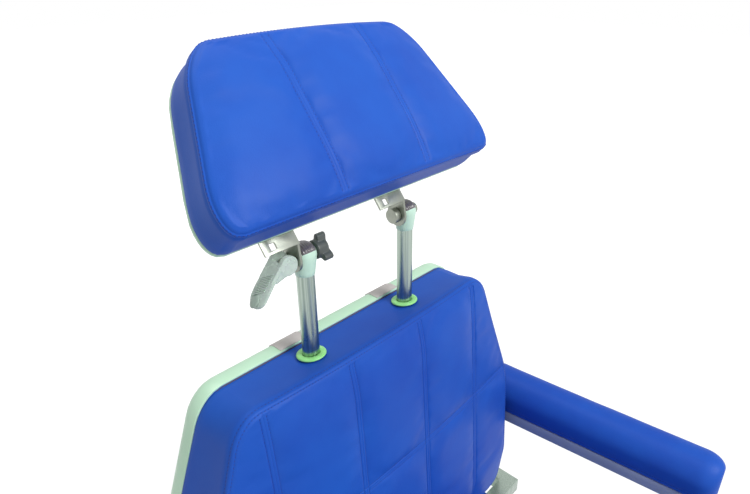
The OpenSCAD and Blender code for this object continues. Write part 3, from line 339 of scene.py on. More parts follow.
def grid_lines(low, high, seams, step, ends=()):
    """Places from low to high: close together at each seam and at the ends, evenly spread between."""
    marks = {low, high}
    marks |= {s + d * sign for s in seams for d in SEAM_LINES for sign in (-1, 1) if low < s + d * sign < high}
    marks |= {p for p in ends if low < p < high}
    marks = sorted(marks)
    kept = [marks[0]]
    for a, b in zip(marks, marks[1:]):
        if b - a < 0.2:
            continue
        count = max(1, ceil((b - a) / step))
        kept += [a + (b - a) * i / count for i in range(1, count + 1)]
    return np.array(kept)


class Sheet:
    """The stitched face of a pad as a grid, with the lists of grid lines that its seams follow."""

    def __init__(self, outline, depth, seams, cross, step):
        self.outline, self.depth = outline, depth
        low, high = outline.low + depth, outline.high - depth
        ends = [place for d in (1.5, 4, 7.5, 12, 18, 26, 36) for place in (low + d, high - d)]
        self.rows = grid_lines(low, high, cross, step, ends)
        widest = max(outline.at(y, depth)[0] for y in self.rows)
        both_ways = [s * sign for s in seams for sign in (-1, 1)]
        rim = [widest - d for d in (2, 5, 9, 14)]
        self.base = grid_lines(-widest, widest, both_ways, step, rim + [-x for x in rim])
        self.seams, self.cross, self.widest = both_ways, list(cross), widest

    def across(self, width):
        """The columns squeezed into a row of this half width."""
        last = max(abs(s) for s in self.seams) + SEAM_LINES[5] if self.seams else 0.5 * self.widest
        squeezed = (0, min(last, width - 2.0), width)
        return np.sign(self.base) * np.interp(np.abs(self.base), (0, last, self.widest), squeezed)

    def quads(self):
        """The grid's faces."""
        m, k = len(self.base), len(self.rows)
        return [(j * m + i, j * m + i + 1, (j + 1) * m + i + 1, (j + 1) * m + i)
                for j in range(k - 1) for i in range(m - 1)]

    def wrapped(self, loop, rings):
        """Faces of the grid, of rings that go on from its border and of the end that closes them."""
        start, count = len(self.base) * len(self.rows), len(loop)
        last = start + (rings - 1) * count
        joint = [(loop[i], loop[(i + 1) % count], start + (i + 1) % count, start + i) for i in range(count)]
        return self.quads() + joint + ring_faces(start, count, rings) + [tuple(range(last + count - 1, last - 1, -1))]

    def points(self):
        """Plan positions of the grid, row by row, with each point's place in the unsqueezed grid."""
        plan = [(x, y) for y in self.rows for x in self.across(self.outline.at(y, self.depth)[0])]
        return np.array(plan), np.array([(x, y) for y in self.rows for x in self.base])

    def border(self):
        """Grid indices round the edge, with the outline's normal at each."""
        m, k = len(self.base), len(self.rows)
        loop = [(0, i) for i in range(m)] + [(j, m - 1) for j in range(1, k)]
        loop += [(k - 1, i) for i in range(m - 2, -1, -1)] + [(j, 0) for j in range(k - 2, 0, -1)]
        normals = []
        for j, i in loop:
            if j in (0, k - 1):
                normals.append((0.0, -1.0 if j == 0 else 1.0))
                continue
            n = self.outline.at(self.rows[j], self.depth)[1]
            normals.append((copysign(n[0], self.base[i]), n[1]))
        return [j * m + i for j, i in loop], np.array(normals)


def puffed(sheet, plan, base, height):
    swell = 1 - np.exp(-np.maximum(0, sheet.outline.distance(plan) - 5) / PUFF_REACH)
    channel = np.zeros(len(plan))
    sewn = set(sheet.border()[0])
    for place, seams in ((base[:, 0], sheet.seams), (base[:, 1], sheet.cross)):
        for s in seams:
            gap = np.abs(place - s)
            swell = swell * (1 - np.exp(-np.maximum(0.0, gap - SEAM_HALF) / PUFF_REACH))
            channel = np.minimum(channel, np.interp(gap, SEAM_LINES, SEAM_DEPTHS))
            sewn |= set(np.flatnonzero(gap <= SEWN_REACH).tolist())
    return channel + blown(sheet, plan, sewn, height)


def blown(sheet, plan, sewn, height):
    """The face's cover held at its sewn lines and blown out by a cloth simulation; the result is each point's lift."""
    mesh = bpy.data.meshes.new("cover_sheet")
    mesh.from_pydata([(x * MM, y * MM, 0) for x, y in plan], [], sheet.quads())
    cover = placed("cover_sheet", mesh)
    cover.vertex_groups.new(name="sewn").add(sorted(int(i) for i in sewn), 1.0, "REPLACE")
    cloth = cover.modifiers.new("cover", "CLOTH")
    settings = cloth.settings
    settings.vertex_group_mass = "sewn"
    settings.quality, settings.mass, settings.air_damping = 8, 0.3, 2.0
    settings.tension_stiffness = settings.compression_stiffness = 18
    settings.shear_stiffness, settings.bending_stiffness = 6, 0.6
    settings.use_pressure, settings.uniform_pressure_force = True, COVER_PRESSURE
    settings.shrink_min = -COVER_SLACK
    settings.effector_weights.gravity = 0
    cloth.point_cache.frame_start, cloth.point_cache.frame_end = 1, BLOW_FRAMES
    for moment in range(1, BLOW_FRAMES + 1):
        SCENE.frame_set(moment)
    final = cover.evaluated_get(bpy.context.evaluated_depsgraph_get())
    lift = np.array([v.co.z for v in final.to_mesh().vertices]) / MM
    final.to_mesh_clear()
    bpy.data.objects.remove(cover)
    bpy.data.meshes.remove(mesh)
    SCENE.frame_set(1)
    return np.clip(lift, -0.5, LIFT_LIMIT * height)


def lumps(points, scale, height, seed):
    """Slow, uneven swelling, the same on every run."""
    return np.array([noise.noise(Vector((p[0] / scale + seed, p[1] / scale, seed))) for p in points]) * height


# Border sections as (inset, drop from the face) down the edge and (inset, rise from the floor) at the foot
TWIN_BORDER = [(6.8, 0.35), (5.8, 0.75), (5.2, 1.25), (4.6, 1.35), (3.6, 1.35), (2.6, 1.8), (1.9, 2.5), (1.35, 3.2),
               (0.95, 4.2), (0.75, 5.3), (0.95, 6.1), (0.75, 6.8), (0.2, 8.2), (-0.15, 11.0), (-0.2, 15.0)]
RIDGE_BORDER = [(6.6, 0.5), (5.0, 1.2), (3.9, 2.2), (3.1, 3.5), (2.7, 4.6), (1.9, 4.7), (1.2, 5.2), (0.75, 6.2),
                (0.75, 7.3), (1.15, 8.1), (0.9, 9.2), (0.45, 11.5), (0.1, 15.0)]
PLAIN_FOOT = [(0.1, 14.0), (0.0, 7.0), (0.1, 2.6), (0.5, 0.8), (1.4, 0.1), (3.4, 0.0)]
SIDE_DRAW = 2.2
SKIRT_IN = 3.1
SKIRT = 9.0


def pad(name, outline, place, body, nodes, face, floor, seams, cross, border, slope=None, bend=None, step=10.0,
        puff=1.6, stitch_rings=(3, 10), skirt=0.0, seed=0.0):
    """A stitched pad: a face with seams, a sewn border, drawn-in sides and a flat underside."""
    depth = border[0][0] + 1.2
    sheet = Sheet(outline, depth, seams, cross, step)
    plan, base = sheet.points()
    top = np.array([face(x, y) for x, y in plan]) + puffed(sheet, plan, base, puff)
    top += lumps(plan, 70.0, 0.7, seed) + lumps(plan, 22.0, 0.22, seed + 5)
    points = [np.column_stack([plan, top])]
    loop, normals = sheet.border()
    foot = plan[loop]

    def ring(inset, height):
        xy = foot + normals * (depth - inset)
        return np.column_stack([xy, height(xy)])

    def edge_top(xy):
        inside = np.clip(xy[:, 1], outline.low, outline.high)
        return np.array([face(x, y) for x, y in zip(xy[:, 0], inside)])

    for inset, drop in border:
        points.append(ring(inset, lambda xy, d=drop: edge_top(xy) - d))
    points.append(ring(SIDE_DRAW, lambda xy: (edge_top(xy) + floor) / 2))
    for inset, rise in PLAIN_FOOT + ([(SKIRT_IN, -0.4), (SKIRT_IN, -skirt)] if skirt else []):
        points.append(ring(inset, lambda xy, r=rise: np.full(len(xy), floor + r)))
    faces = sheet.wrapped(loop, len(points) - 1)
    points = np.concatenate(points)
    if slope:
        points[:, 1] += np.where(points[:, 2] > floor - 0.1, slope(points), 0.0)
    if bend:
        points = bend(points)
    piece = make(name, points, faces, place, body, "vinyl", "vinyl", nodes)
    count, m, k = len(loop), len(sheet.base), len(sheet.rows)
    halves = (-SEAM_HALF, SEAM_HALF)
    columns = [int(np.abs(sheet.base - (s + d)).argmin()) for s in sheet.seams for d in halves]
    rows = [int(np.abs(sheet.rows - (s + d)).argmin()) for s in sheet.cross for d in halves]
    runs = [[j * m + i for j in range(k)] for i in columns] + [[j * m + i for i in range(m)] for j in rows]
    runs += [[m * k + r * count + i % count for i in range(count + 1)] for r in stitch_rings]
    stitches(name + "_stitching", piece, runs, body)
    return piece


STITCH_PITCH = 4.4
STITCH_LEN = 3.1
STITCH_R = 0.42


def stitches(name, piece, runs, body):
    """Rows of thread stitches lying on a piece along lists of its points."""
    mesh = piece.data
    co = np.array([v.co for v in mesh.vertices]) / MM
    no = np.array([v.normal for v in mesh.vertices])
    points, faces = [], []
    for run in runs:
        path, up = co[run], no[run]
        reach = np.concatenate([[0], np.cumsum(np.linalg.norm(np.diff(path, axis=0), axis=1))])
        count = int(reach[-1] / STITCH_PITCH)
        for i in range(count):
            mid = (i + 0.5) * reach[-1] / count
            ends = [np.array([np.interp(t, reach, path[:, a]) for a in range(3)])
                    for t in (mid - STITCH_LEN / 2, mid + STITCH_LEN / 2)]
            rise = np.array([np.interp(mid, reach, up[:, a]) for a in range(3)])
            add_stitch(points, faces, ends[0], ends[1], rise / np.linalg.norm(rise))
    make(name, points, faces, GROUND, body, "vinyl", "thread")


def add_stitch(points, faces, a, b, up):
    """One stitch: a spindle of four sides whose ends dip into the cover."""
    along = (b - a) / np.linalg.norm(b - a)
    side = np.cross(along, up)
    start = len(points)
    points.append(a - up * 0.25)
    for t, r in ((0.25, 0.9), (0.75, 0.9)):
        middle = a + (b - a) * t + up * 0.12
        points += [middle + (side * dx + up * dy) * STITCH_R * r for dx, dy in ((1, 0), (0, 1), (-1, 0), (0, -1))]
    points.append(b - up * 0.25)
    for i in range(4):
        j = (i + 1) % 4
        faces.append((start, start + 1 + j, start + 1 + i))
        faces.append((start + 1 + i, start + 1 + j, start + 5 + j, start + 5 + i))
        faces.append((start + 9, start + 5 + i, start + 5 + j))


# Upholstery

def padded_swell(low_gap, high_gap):
    """How full a pad's crown is at distances from its two ends."""
    return 0.4 + 0.6 * ramp(low_gap / 70) * ramp(high_gap / 70)


def crowned(x, half, height):
    return height * (1 - min(1.0, abs(x) / max(half, 1.0)) ** 2)


def back_face(x, w):
    """Height of the backrest's face in front of the posts."""
    u, up = BACK_TOP - w, w - END_GAP
    lumbar = LUMBAR * min(1.0, u / (BACK_LEN * 0.8)) * (1 - 0.4 * max(0.0, 1 - up / 100))
    rim = BACK_FRONT + lumbar - corner(max(up, 0.0), 12, 12)
    return rim + crowned(x, back_half(w), 16 * padded_swell(up, u))


def back_slope(points):
    """The backrest's top leans back towards its shell."""
    return TOP_LEAN * points[:, 2] * np.maximum(0, 1 - (BACK_TOP - points[:, 1]) / 90)


def head_face(x, y):
    v = y - HEAD_LOW
    rim = HEAD_REAR + HEAD_SHELL_T + HEAD_SIDE
    return rim + crowned(x, head_half(y), HEAD_CROWN * padded_swell(v, HEAD_LEN - v))


def leg_face(x, v):
    u, t = max(0.0, v - END_GAP), max(0.0, LEG_END - v)
    rim = NOSE_R * 0.76 - corner(u, 6, 12) - corner(t, 36, 60)
    return rim + crowned(x, leg_half(v), (NOSE_R * 0.24 + 8) * padded_swell(u, t))


NOSE_RUN = NOSE_R * (pi / 2 + asin(-PAD_FLOOR / NOSE_R))
SEAT_RUN = SEAT_SPAN + 2 * NOSE_RUN
SEAT_DEEP = NOSE_R - PAD_FLOOR
SIDE_CURL = 18.0


def seat_half(s):
    return SEAT_W / 2 - corner(s, 5, 5) - corner(SEAT_RUN - s, 5, 5)


def seat_face(x, s):
    """Height of the seat's cover over its path round both noses."""
    full = ramp((s - NOSE_RUN - 60) / 90) * ramp((SEAT_RUN - NOSE_RUN - 60 - s) / 90)
    return crowned(x, SEAT_W / 2, NOSE_R * 0.24 + 8 * full) - NOSE_R * 0.24


def bend_seat(points):
    """Wraps the flat seat cover round the two noses, with its underside on the shell."""
    s, h = points[:, 1], points[:, 2]
    straight = np.clip(s - NOSE_RUN, 0, SEAT_SPAN)
    turn = (straight + NOSE_RUN - s) / NOSE_R
    reach = NOSE_R + np.maximum(h, -SIDE_CURL)
    n = straight - np.sin(turn) * reach
    z = np.cos(turn) * reach
    down = np.clip((-h - SIDE_CURL) / (SEAT_DEEP - SIDE_CURL), 0, 1)
    floor_n = straight - np.sin(turn) * (NOSE_R - 10)
    return np.column_stack([points[:, 0], n + (floor_n - n) * down, z + (PAD_FLOOR - z) * down])


def back_cushion():
    """The backrest's pad with the two bores that its posts and collars stand in."""
    piece = pad("back_pad", BACK_LINE, BACK, "back", ["back_cushion"], back_face, -BACK_REAR, SEAM_X,
                [BACK_TOP - CROSS_SEAM], TWIN_BORDER, slope=back_slope, skirt=SKIRT, seed=3.0)
    bore = lathe([(14.3, -310), (14.3, 40)], 48)
    subtract(piece, [cutter(*bore, on_post(side, BACK_TOP)) for side in (-1, 1)], 50)


def arm_cushion(side, word):
    """A soft, round-topped armrest with a rounded front and a sewn line low on its sides."""
    points, end = [], 34.0
    places = np.concatenate([2 + 12 * (1 - np.cos(np.linspace(0, pi / 2, 8))),
                             np.linspace(14, ARM_LEN - end + 2, 44)[1:-1],
                             ARM_LEN + 2 - end * (1 - np.sin(np.linspace(0, pi / 2, 14)))])
    arc = np.linspace(0, pi, 33)
    flank = [(0.82, 0.0), (0.9, 0.25), (0.955, 1.6), (0.98, 4.0), (0.985, 7.0), (0.972, 8.6), (0.985, 10.2),
             (1.0, 15.0)]
    for y in places:
        u, v = y - 2, ARM_LEN - y + 2
        half = ARM_W / 2 - corner(v, ARM_W * 0.3, end) - corner(u, 6, 12) - 2 * sin(pi * u / ARM_LEN)
        tall = ARM_H - corner(v, ARM_H * 0.25, end) - corner(u, 6, 12)
        low = tall * 0.38
        points += [(half * a, y, b) for a, b in flank]
        points += [(half * cos(a) * (1 - 0.03 * sin(2 * a) ** 2), y, low + (tall - low) * sin(a) ** 0.92) for a in arc]
        points += [(-half * a, y, b) for a, b in flank[::-1]]
    points = np.array(points)
    points[:, 2] += lumps(points[:, :2], 60.0, 0.8, side * 7.0) * np.clip(points[:, 2] / 40, 0, 1)
    count, rows = len(arc) + 2 * len(flank), len(places)
    c, s = cos(ARM_SPLAY), side * sin(ARM_SPLAY)
    place = local_frame((side * ARM_X, BACK_Y + 6, PIVOT_Z + ARM_Z + TRAY_T), (-c, -s, 0), (s, -c, 0), (0, 0, 1))
    piece = make("arm_pad_" + word, points, skinned(count, rows), place, "arm_" + word, "vinyl", "vinyl",
                 ["arm_cushion_" + word])
    sharpen(piece, 60)
    runs = [[j * count + i for j in range(1, rows - 2)] for i in (5, count - 6)]
    stitches("arm_stitching_" + word, piece, runs, "arm_" + word)


# Shells

def shell(name, outline, place, body, node, rim, deep, edge, wall, *openings):
    """A hollow moulded cover behind a pad: rounded far edge, level rim, an inner face and boxes cut out of it."""
    outer = [(edge + 1.5, 0.0), (edge, 0.05), (edge * 0.76, edge * 0.035), (edge * 0.54, edge * 0.12),
             (edge * 0.34, edge * 0.28), (edge * 0.17, edge * 0.5), (edge * 0.05, edge * 0.78), (0.0, edge * 1.05),
             (0.0, deep - 1.2), (0.35, deep - 0.35), (1.0, deep), (wall - 0.6, deep), (wall, deep - 0.6),
             (wall, max(edge, wall + 1)), (wall + edge * 0.3, wall + edge * 0.25), (wall + edge, wall)]
    sheet = Sheet(outline, edge + 1.5, (), (), 30.0)
    plan, _ = sheet.points()
    loop, normals = sheet.border()
    foot = plan[loop]
    points = [np.column_stack([plan, np.zeros(len(plan))])]
    for inset, rise in outer:
        points.append(np.column_stack([foot + normals * (edge + 1.5 - inset), np.full(len(foot), rise)]))
    faces = sheet.wrapped(loop, len(points) - 1)
    points = np.concatenate(points)
    points[:, 2] += rim - deep
    piece = make(name, points, faces, place, body, "shell_white", "shell", [node])
    subtract(piece, [cutter_box(low, high, place) for low, high in openings], 40)


def base_half(y):
    return BASE_W / 2 - corner(y + BASE_FRONT, 60, 60) - corner(BASE_REAR - y, 60, 60)


# Metal and moulded pieces

def dressed(node, material, width):
    """A CAD node's own shape with its sharp edges broken, as the real piece has them."""
    source = frame["nodes"][node]
    mesh = source.data.copy()
    draft = bmesh.new()
    draft.from_mesh(mesh)
    bmesh.ops.remove_doubles(draft, verts=draft.verts, dist=1e-5)
    bmesh.ops.dissolve_limit(draft, angle_limit=radians(1.5), verts=draft.verts, edges=draft.edges)
    sharp = [e for e in draft.edges if len(e.link_faces) == 2 and e.calc_face_angle(0) > radians(35)]
    bmesh.ops.bevel(draft, geom=sharp, offset=width * MM, offset_type="OFFSET", segments=2, profile=0.6,
                    affect="EDGES", clamp_overlap=True)
    bmesh.ops.recalc_face_normals(draft, faces=draft.faces)
    draft.to_mesh(mesh)
    draft.free()
    if "custom_normal" in mesh.attributes:
        mesh.attributes.remove(mesh.attributes["custom_normal"])
    mesh.materials.clear()
    mesh.materials.append(MATERIALS[material])
    shaded_smooth(mesh)
    piece = placed(node + "_finished", mesh)
    sharpen(piece, 30)
    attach(piece, source["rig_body"])
    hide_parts(node)


def blended(name, forms, place, body, slot, material, voxel, rounds):
    """One moulded piece from overlapping closed forms, with soft fillets where they meet."""
    piece = make(name, *joined(forms), place, body, slot, material, [body])
    remesh = piece.modifiers.new("fuse", "REMESH")
    remesh.mode, remesh.voxel_size = "VOXEL", voxel * MM
    soften = piece.modifiers.new("soften", "SMOOTH")
    soften.factor, soften.iterations = 0.5, rounds
    apply_modifiers(piece)
    shaded_smooth(piece.data)
    if not piece.data.materials:
        piece.data.materials.append(MATERIALS[material])


def slab(outline, low, high, axes):
    """A closed prism from an outline, with its height along the third of the given axes."""
    points = [tuple(v for _, v in sorted(zip(axes, (a, b, level)))) for level in (low, high) for a, b in outline]
    return points, skinned(len(outline), 2)


def rounded(width, height, radius, steps):
    """A rectangle's outline with round corners."""
    points = []
    for turn, (sx, sy) in enumerate(((1, 1), (-1, 1), (-1, -1), (1, -1))):
        cx, cy = sx * (width / 2 - radius), sy * (height / 2 - radius)
        for i in range(steps + 1):
            a = pi / 2 * (turn + i / steps)
            points.append((cx + radius * cos(a), cy + radius * sin(a)))
    return points


def turned(form, angle):
    """A form turned about its y axis by an angle in degrees."""
    points, faces = form
    c, s = cos(radians(angle)), sin(radians(angle))
    return [(x * c + z * s, y, z * c - x * s) for x, y, z in points], faces


def on_post(side, height):
    """A place on a post's axis, at a height above the back's hinge."""
    return upright(side * POST_X, BACK_Y, PIVOT_Z + height)


def post(side, word):
    low, high = BACK_TOP - 190, TILT_Z - 8.5
    form = lathe([(POST_R - 1.2, low), (POST_R, low + 1.2), (POST_R, high - 0.5), (POST_R - 0.5, high)], 72)
    sharpen(make("post_tube_" + word, *form, on_post(side, 0), "posts", "chrome", "steel", ["post_" + word]), 30)


def collar(side, word):
    lean = atan(TOP_LEAN)
    place = local_frame((side * POST_X, BACK_Y, PIVOT_Z + BACK_TOP), (1, 0, 0),
                        (0, cos(lean), -sin(lean)), (0, sin(lean), cos(lean)))
    form = lathe([(11.15, -5.5), (13.9, -5.5), (13.9, 0.3), (18.6, 0.3), (19.2, 0.7), (19.4, 1.4), (19.1, 2.2),
                  (18.2, 2.9), (16.6, 3.35), (14.6, 3.5), (12.7, 3.35), (11.6, 2.9), (11.15, 2.3), (11.15, -5.5)], 72)
    sharpen(make("collar_ring_" + word, *form, place, "back", "collar_green", "collar", ["collar_" + word]), 40)


def clamp(side, word):
    """A post's fitting: a sleeve that widens upward into a domed head with two flat cheeks and a ribbed cap."""
    place = on_post(side, TILT_Z)
    dome = [(BARREL_R * cos(a), BARREL_R * sin(a)) for a in np.linspace(0, pi / 2, 14)[:-1]]
    form = lathe([(11.2, -SLEEVE_H + 0.6), (11.8, -SLEEVE_H), (12.1, -SLEEVE_H + 0.4), (12.6, -SLEEVE_H + 5),
                  (13.6, -15), (14.8, -6), *dome, (0.4, BARREL_R)], 72)
    piece = make("clamp_body_" + word, *form, place, "posts", "shell_white", "clamp", ["clamp_" + word])
    beside = BARREL_HALF + 10
    subtract(piece, [cutter_box((s * beside - 10, -30, -60), (s * beside + 10, 30, 60), place) for s in (-1, 1)], 40)
    edge = piece.modifiers.new("edge", "BEVEL")
    edge.width, edge.segments, edge.limit_method, edge.angle_limit = 0.7 * MM, 2, "ANGLE", radians(40)
    apply_modifiers(piece)
    sharpen(piece, 40)
    across = np.linspace(-10.2, 10.2, 49)
    section = [(x, 0.75 + 0.3 * cos(x * 2 * pi / RIB_PITCH)) for x in across]
    section += [(x, -0.4) for x in across[::-1]]
    angles = np.linspace(radians(36), radians(152), 40)
    points = []
    for i, a in enumerate(angles):
        fade = min(1.0, (i + 0.6) / 3, (len(angles) - i - 0.4) / 3)
        for x, lift in section:
            reach = sqrt(BARREL_R ** 2 - x * x) + (lift * fade if lift > 0 else lift)
            points.append((x, reach * cos(a), reach * sin(a)))
    faces = skinned(len(section), len(angles))
    sharpen(make("clamp_cap_" + word, points, faces, place, "posts", "grey_plastic", "smoke"), 50)


def knob():
    """The left bolt's knob: a hub with three lobes."""
    points, faces = lathe([(11.0, 0), (11.9, 0.8), (11.9, 12), (11.2, 15.2), (8.6, 17.4), (3.0, 18.0)], 48)
    forms = [([(KNOB_X + z, y, -x) for x, y, z in points], faces)]
    points, faces = slab([(5.2, 0), (4.4, 10), (4.3, 14), (3.6, 17.2), (1.8, 18.9), (-1.8, 18.9), (-3.6, 17.2),
                          (-4.3, 14), (-4.4, 10), (-5.2, 0)], KNOB_X + 4.6, KNOB_X + 17.0, axes=(1, 2, 0))
    for turn in (0, 120, 240):
        c, s = cos(radians(turn)), sin(radians(turn))
        forms.append(([(x, y * c - z * s, y * s + z * c) for x, y, z in points], faces))
    blended("knob_lobes_left", forms, on_post(-1, TILT_Z), "knob_left", "dark_plastic", "knob_grey", 0.7, 6)


def lever_form():
    """A cam lever hanging down from its pin: a forked cam and a broad, bowed grip with a rounded tip."""
    points, reach, half = [], LEVER_LEN - 3, LEVER_W / 2
    for t in np.linspace(0, 1, 27):
        z = -2 - t * (reach - 2)
        broad = half * (0.9 + 0.26 * ramp(min(1.0, t / 0.62)))
        tip = max(0.0, (t - 0.74) / 0.26)
        broad *= sqrt(max(0.03, 1 - tip ** 2.3))
        thick = 3.5 - 0.6 * t
        bow = thick - LEVER_CAM + max(0.0, 0.2 - 1.4 * sin(pi * t) + 2.2 * t)
        points += [(bow + thick * cos(a), broad * copysign(abs(sin(a)) ** 0.6, sin(a)), z)
                   for a in np.linspace(0, 2 * pi, 28, endpoint=False)]
    forms = [(points, skinned(28, 27))]
    cheek = [(LEVER_CAM * cos(a), LEVER_CAM * sin(a)) for a in np.linspace(0, 2 * pi, 44, endpoint=False)]
    gusset = [(-LEVER_CAM, -26), (-4, -24), (5, -10), (8, -4), (0, 6), (-LEVER_CAM, 0)]
    for y0, y1 in ((-half, -6.2), (6.2, half)):
        forms.append(slab(cheek, y0, y1, axes=(0, 2, 1)))
        forms.append(slab(gusset, y0 + 0.4, y1 - 0.4, axes=(0, 2, 1)))
    return forms


def lever_ribs():
    """Diagonal ribs across the middle of the grip."""
    c, s = cos(radians(58)), sin(radians(58))
    rib = [(x * c - y * s, x * s + y * c) for x, y in rounded(1.2, 18.5, 0.55, 3)]
    return [slab([(a, b - 21.0 - 2.3 * i) for a, b in rib], -LEVER_CAM - 0.9, -LEVER_CAM + 1.8, axes=(1, 2, 0))
            for i in range(10)]


def lever():
    """The left bolt's cam lever, drawn open."""
    place, body = upright(-POST_X - LEVER_OUT, BACK_Y, PIVOT_Z + TILT_Z), "lever_left"
    blended("lever_grip_left", [turned(f, LEVER_OPEN) for f in lever_form()], place, body, "lever_plastic", "lever",
            0.6, 4)
    ribs = joined([turned(f, LEVER_OPEN) for f in lever_ribs()])
    make("lever_ribs_left", *ribs, place, body, "lever_plastic", "lever", smooth=False)
    oval = lathe([(0.3, 0), (5.6, 0.1), (6.6, 0.55), (6.2, 1.1), (3.0, 1.35), (0.3, 1.4)], 40)
    tip = turned(([(-z - 10.6, y, x * 1.25 - 51.5) for x, y, z in oval[0]], oval[1]), LEVER_OPEN)
    make("lever_tip_left", *tip, place, body, "lever_plastic", "lever_dark")


def square_tube(name, rings, slot, material, nodes, degrees):
    """A hollow form round the column from (width, depth, corner radius, height) rings, the last joined to the first."""
    points = [(x, y, z) for w, d, r, z in rings for x, y in rounded(w, d, r, 8)]
    count = len(points) // len(rings)
    last = len(points) - count
    faces = ring_faces(0, count, len(rings))
    faces += [(last + i, last + (i + 1) % count, (i + 1) % count, i) for i in range(count)]
    sharpen(make(name, points, faces, upright(0, BACK_Y - COLUMN_N, 0), "base", slot, material, nodes), degrees)


# Nodes that keep their own shape, by finish, each with the width of its broken edges
HARD_NODES = {
    "grey_coat": {"base_frame": 1.5, "back_frame": 1.0, "post_guides": 0.5, "leg_frame": 1.0},
    "zinc": {"cover_screws": 0.5, "hinge_pins": 0.9, "arm_pins": 0.7, "back_screws": 0.6, "head_screws": 0.5},
    "steel": {"lift_tube": 0.8, "lift_rod": 0.8, "arm_posts": 1.5, "back_rod": 0.6, "leg_rod": 0.6},
    "grey": {"lift_motor": 1.5, "column_glides": 0.8, "back_actuator": 1.2, "leg_actuator": 1.2},
    "plywood": {"seat_board": 0.8, "back_board": 0.8, "head_board": 0.5, "leg_board": 0.8},
    "white_coat": {"column_inner": 1.2, "seat_frame": 1.0}, "black": {"control_box": 2.0, "power_inlet": 0.5},
    "plated": {"clamp_bolts": 0.4, "head_brackets": 0.4}, "tray": {"arm_tray_left": 1.5, "arm_tray_right": 1.5},
    "rocker": {"rocker_lift": 0.8, "rocker_back": 0.8, "rocker_leg": 0.8}, "rubber": {"base_feet": 2.0},
    "shell": {"seat_shell": 0.8}, "dark": {"switch_plate": 1.0}, "strap": {"shell_clips": 0.25}}


# Materials

def value_group(name, build, **inputs):
    """A node group that takes values or vectors and gives the value that its builder makes of them."""
    group = bpy.data.node_groups.new(name, "ShaderNodeTree")
    for label, value in inputs.items():
        kind = "NodeSocketVector" if isinstance(value, tuple) else "NodeSocketFloat"
        group.interface.new_socket(label, in_out="INPUT", socket_type=kind).default_value = value
    group.interface.new_socket("Value", in_out="OUTPUT", socket_type="NodeSocketFloat")
    value = build(group, group.nodes.new("NodeGroupInput").outputs)
    group.links.new(value, group.nodes.new("NodeGroupOutput").inputs["Value"])
    return group


def node(tree, kind, settings=None, **inputs):
    """A shader node with its settings, its constants and its links; i0 is its first input."""
    made = tree.nodes.new("ShaderNode" + kind)
    for key, value in (settings or {}).items():
        setattr(made, key, value)
    for key, value in inputs.items():
        label = key.replace("_", " ")
        socket = made.inputs[int(label[1:])] if label[0] == "i" and label[1:].isdigit() else made.inputs[label]
        if isinstance(value, bpy.types.NodeSocket):
            tree.links.new(value, socket)
        else:
            socket.default_value = value
    return made


def maths(tree, operation, *values, clamp=False):
    """What one step of arithmetic gives."""
    given = {"i%d" % place: value for place, value in enumerate(values)}
    return node(tree, "Math", {"operation": operation, "use_clamp": clamp}, **given).outputs[0]


def mapped(tree, value, low, high, to_low=0.0, to_high=1.0):
    return node(tree, "MapRange", i0=value, i1=low, i2=high, i3=to_low, i4=to_high).outputs[0]


def speckle(tree, place, scale, detail, rough=0.5):
    return node(tree, "TexNoise", Vector=place, Scale=scale, Detail=detail, Roughness=rough)


def object_place(tree):
    return node(tree, "TexCoord").outputs["Object"]


def contrasted(tree, value, contrast):
    """A value drawn away from one half, kept between 0 and 1."""
    return maths(tree, "ADD", maths(tree, "MULTIPLY", maths(tree, "SUBTRACT", value, 0.5), contrast), 0.5, clamp=True)


def cloudy(group, given):
    """Soft uneven tone: two sizes of noise as one value from 0 to 1."""
    place = object_place(group)
    broad = speckle(group, place, given["Scale"], 4.0, 0.55).outputs[0]
    fine = speckle(group, place, maths(group, "MULTIPLY", given["Scale"], 6.3), 3.0, 0.6).outputs[0]
    total = maths(group, "ADD", broad, maths(group, "MULTIPLY_ADD", fine, 0.3, -0.15))
    return contrasted(group, total, given["Contrast"])


def grained(group, given):
    """The fine pebbled grain of coated fabric, as a height."""
    place = object_place(group)
    moved = node(group, "VectorMath", {"operation": "MULTIPLY_ADD"}, i1=(0.0012, 0.0012, 0.0012), i2=place,
                 i0=speckle(group, place, 160.0, 2.0).outputs["Color"]).outputs[0]
    cells = node(group, "TexVoronoi", {"feature": "SMOOTH_F1"}, Vector=moved, Scale=given["Scale"], Smoothness=0.35)
    soft = speckle(group, place, 55.0, 3.0).outputs[0]
    return maths(group, "MULTIPLY_ADD", soft, 0.6, cells.outputs["Distance"])


def brushed(group, given):
    """Long fine streaks along one axis, as drawn or brushed metal shows."""
    drawn = node(group, "VectorMath", {"operation": "MULTIPLY"}, i0=object_place(group), i1=given["Stretch"])
    fine = speckle(group, drawn.outputs[0], 1.0, 4.0, 0.7).outputs[0]
    return contrasted(group, fine, given["Contrast"])


def dusty(group, given):
    """Thin dust on faces that look up, as a mask."""
    facing = node(group, "SeparateXYZ", Vector=node(group, "NewGeometry").outputs["Normal"])
    patches = speckle(group, object_place(group), 14.0, 5.0, 0.65).outputs[0]
    both = maths(group, "MULTIPLY", mapped(group, facing.outputs["Z"], 0.5, 1.0), mapped(group, patches, 0.45, 0.75))
    return maths(group, "MULTIPLY", both, given["Amount"])


GROUPS = {"cloud": value_group("cloud", cloudy, Scale=8.0, Contrast=1.0),
          "grain": value_group("grain", grained, Scale=700.0),
          "brushing": value_group("brushing", brushed, Stretch=(400.0, 400.0, 3.0), Contrast=1.0),
          "dust": value_group("dust", dusty, Amount=0.3)}


def effect(tree, name, **inputs):
    return node(tree, "Group", {"node_tree": GROUPS[name]}, **inputs).outputs[0]


def blend_colours(tree, factor, a, b):
    return node(tree, "Mix", {"data_type": "RGBA"}, i0=factor, i6=a, i7=b).outputs[2]


MATERIALS = {}


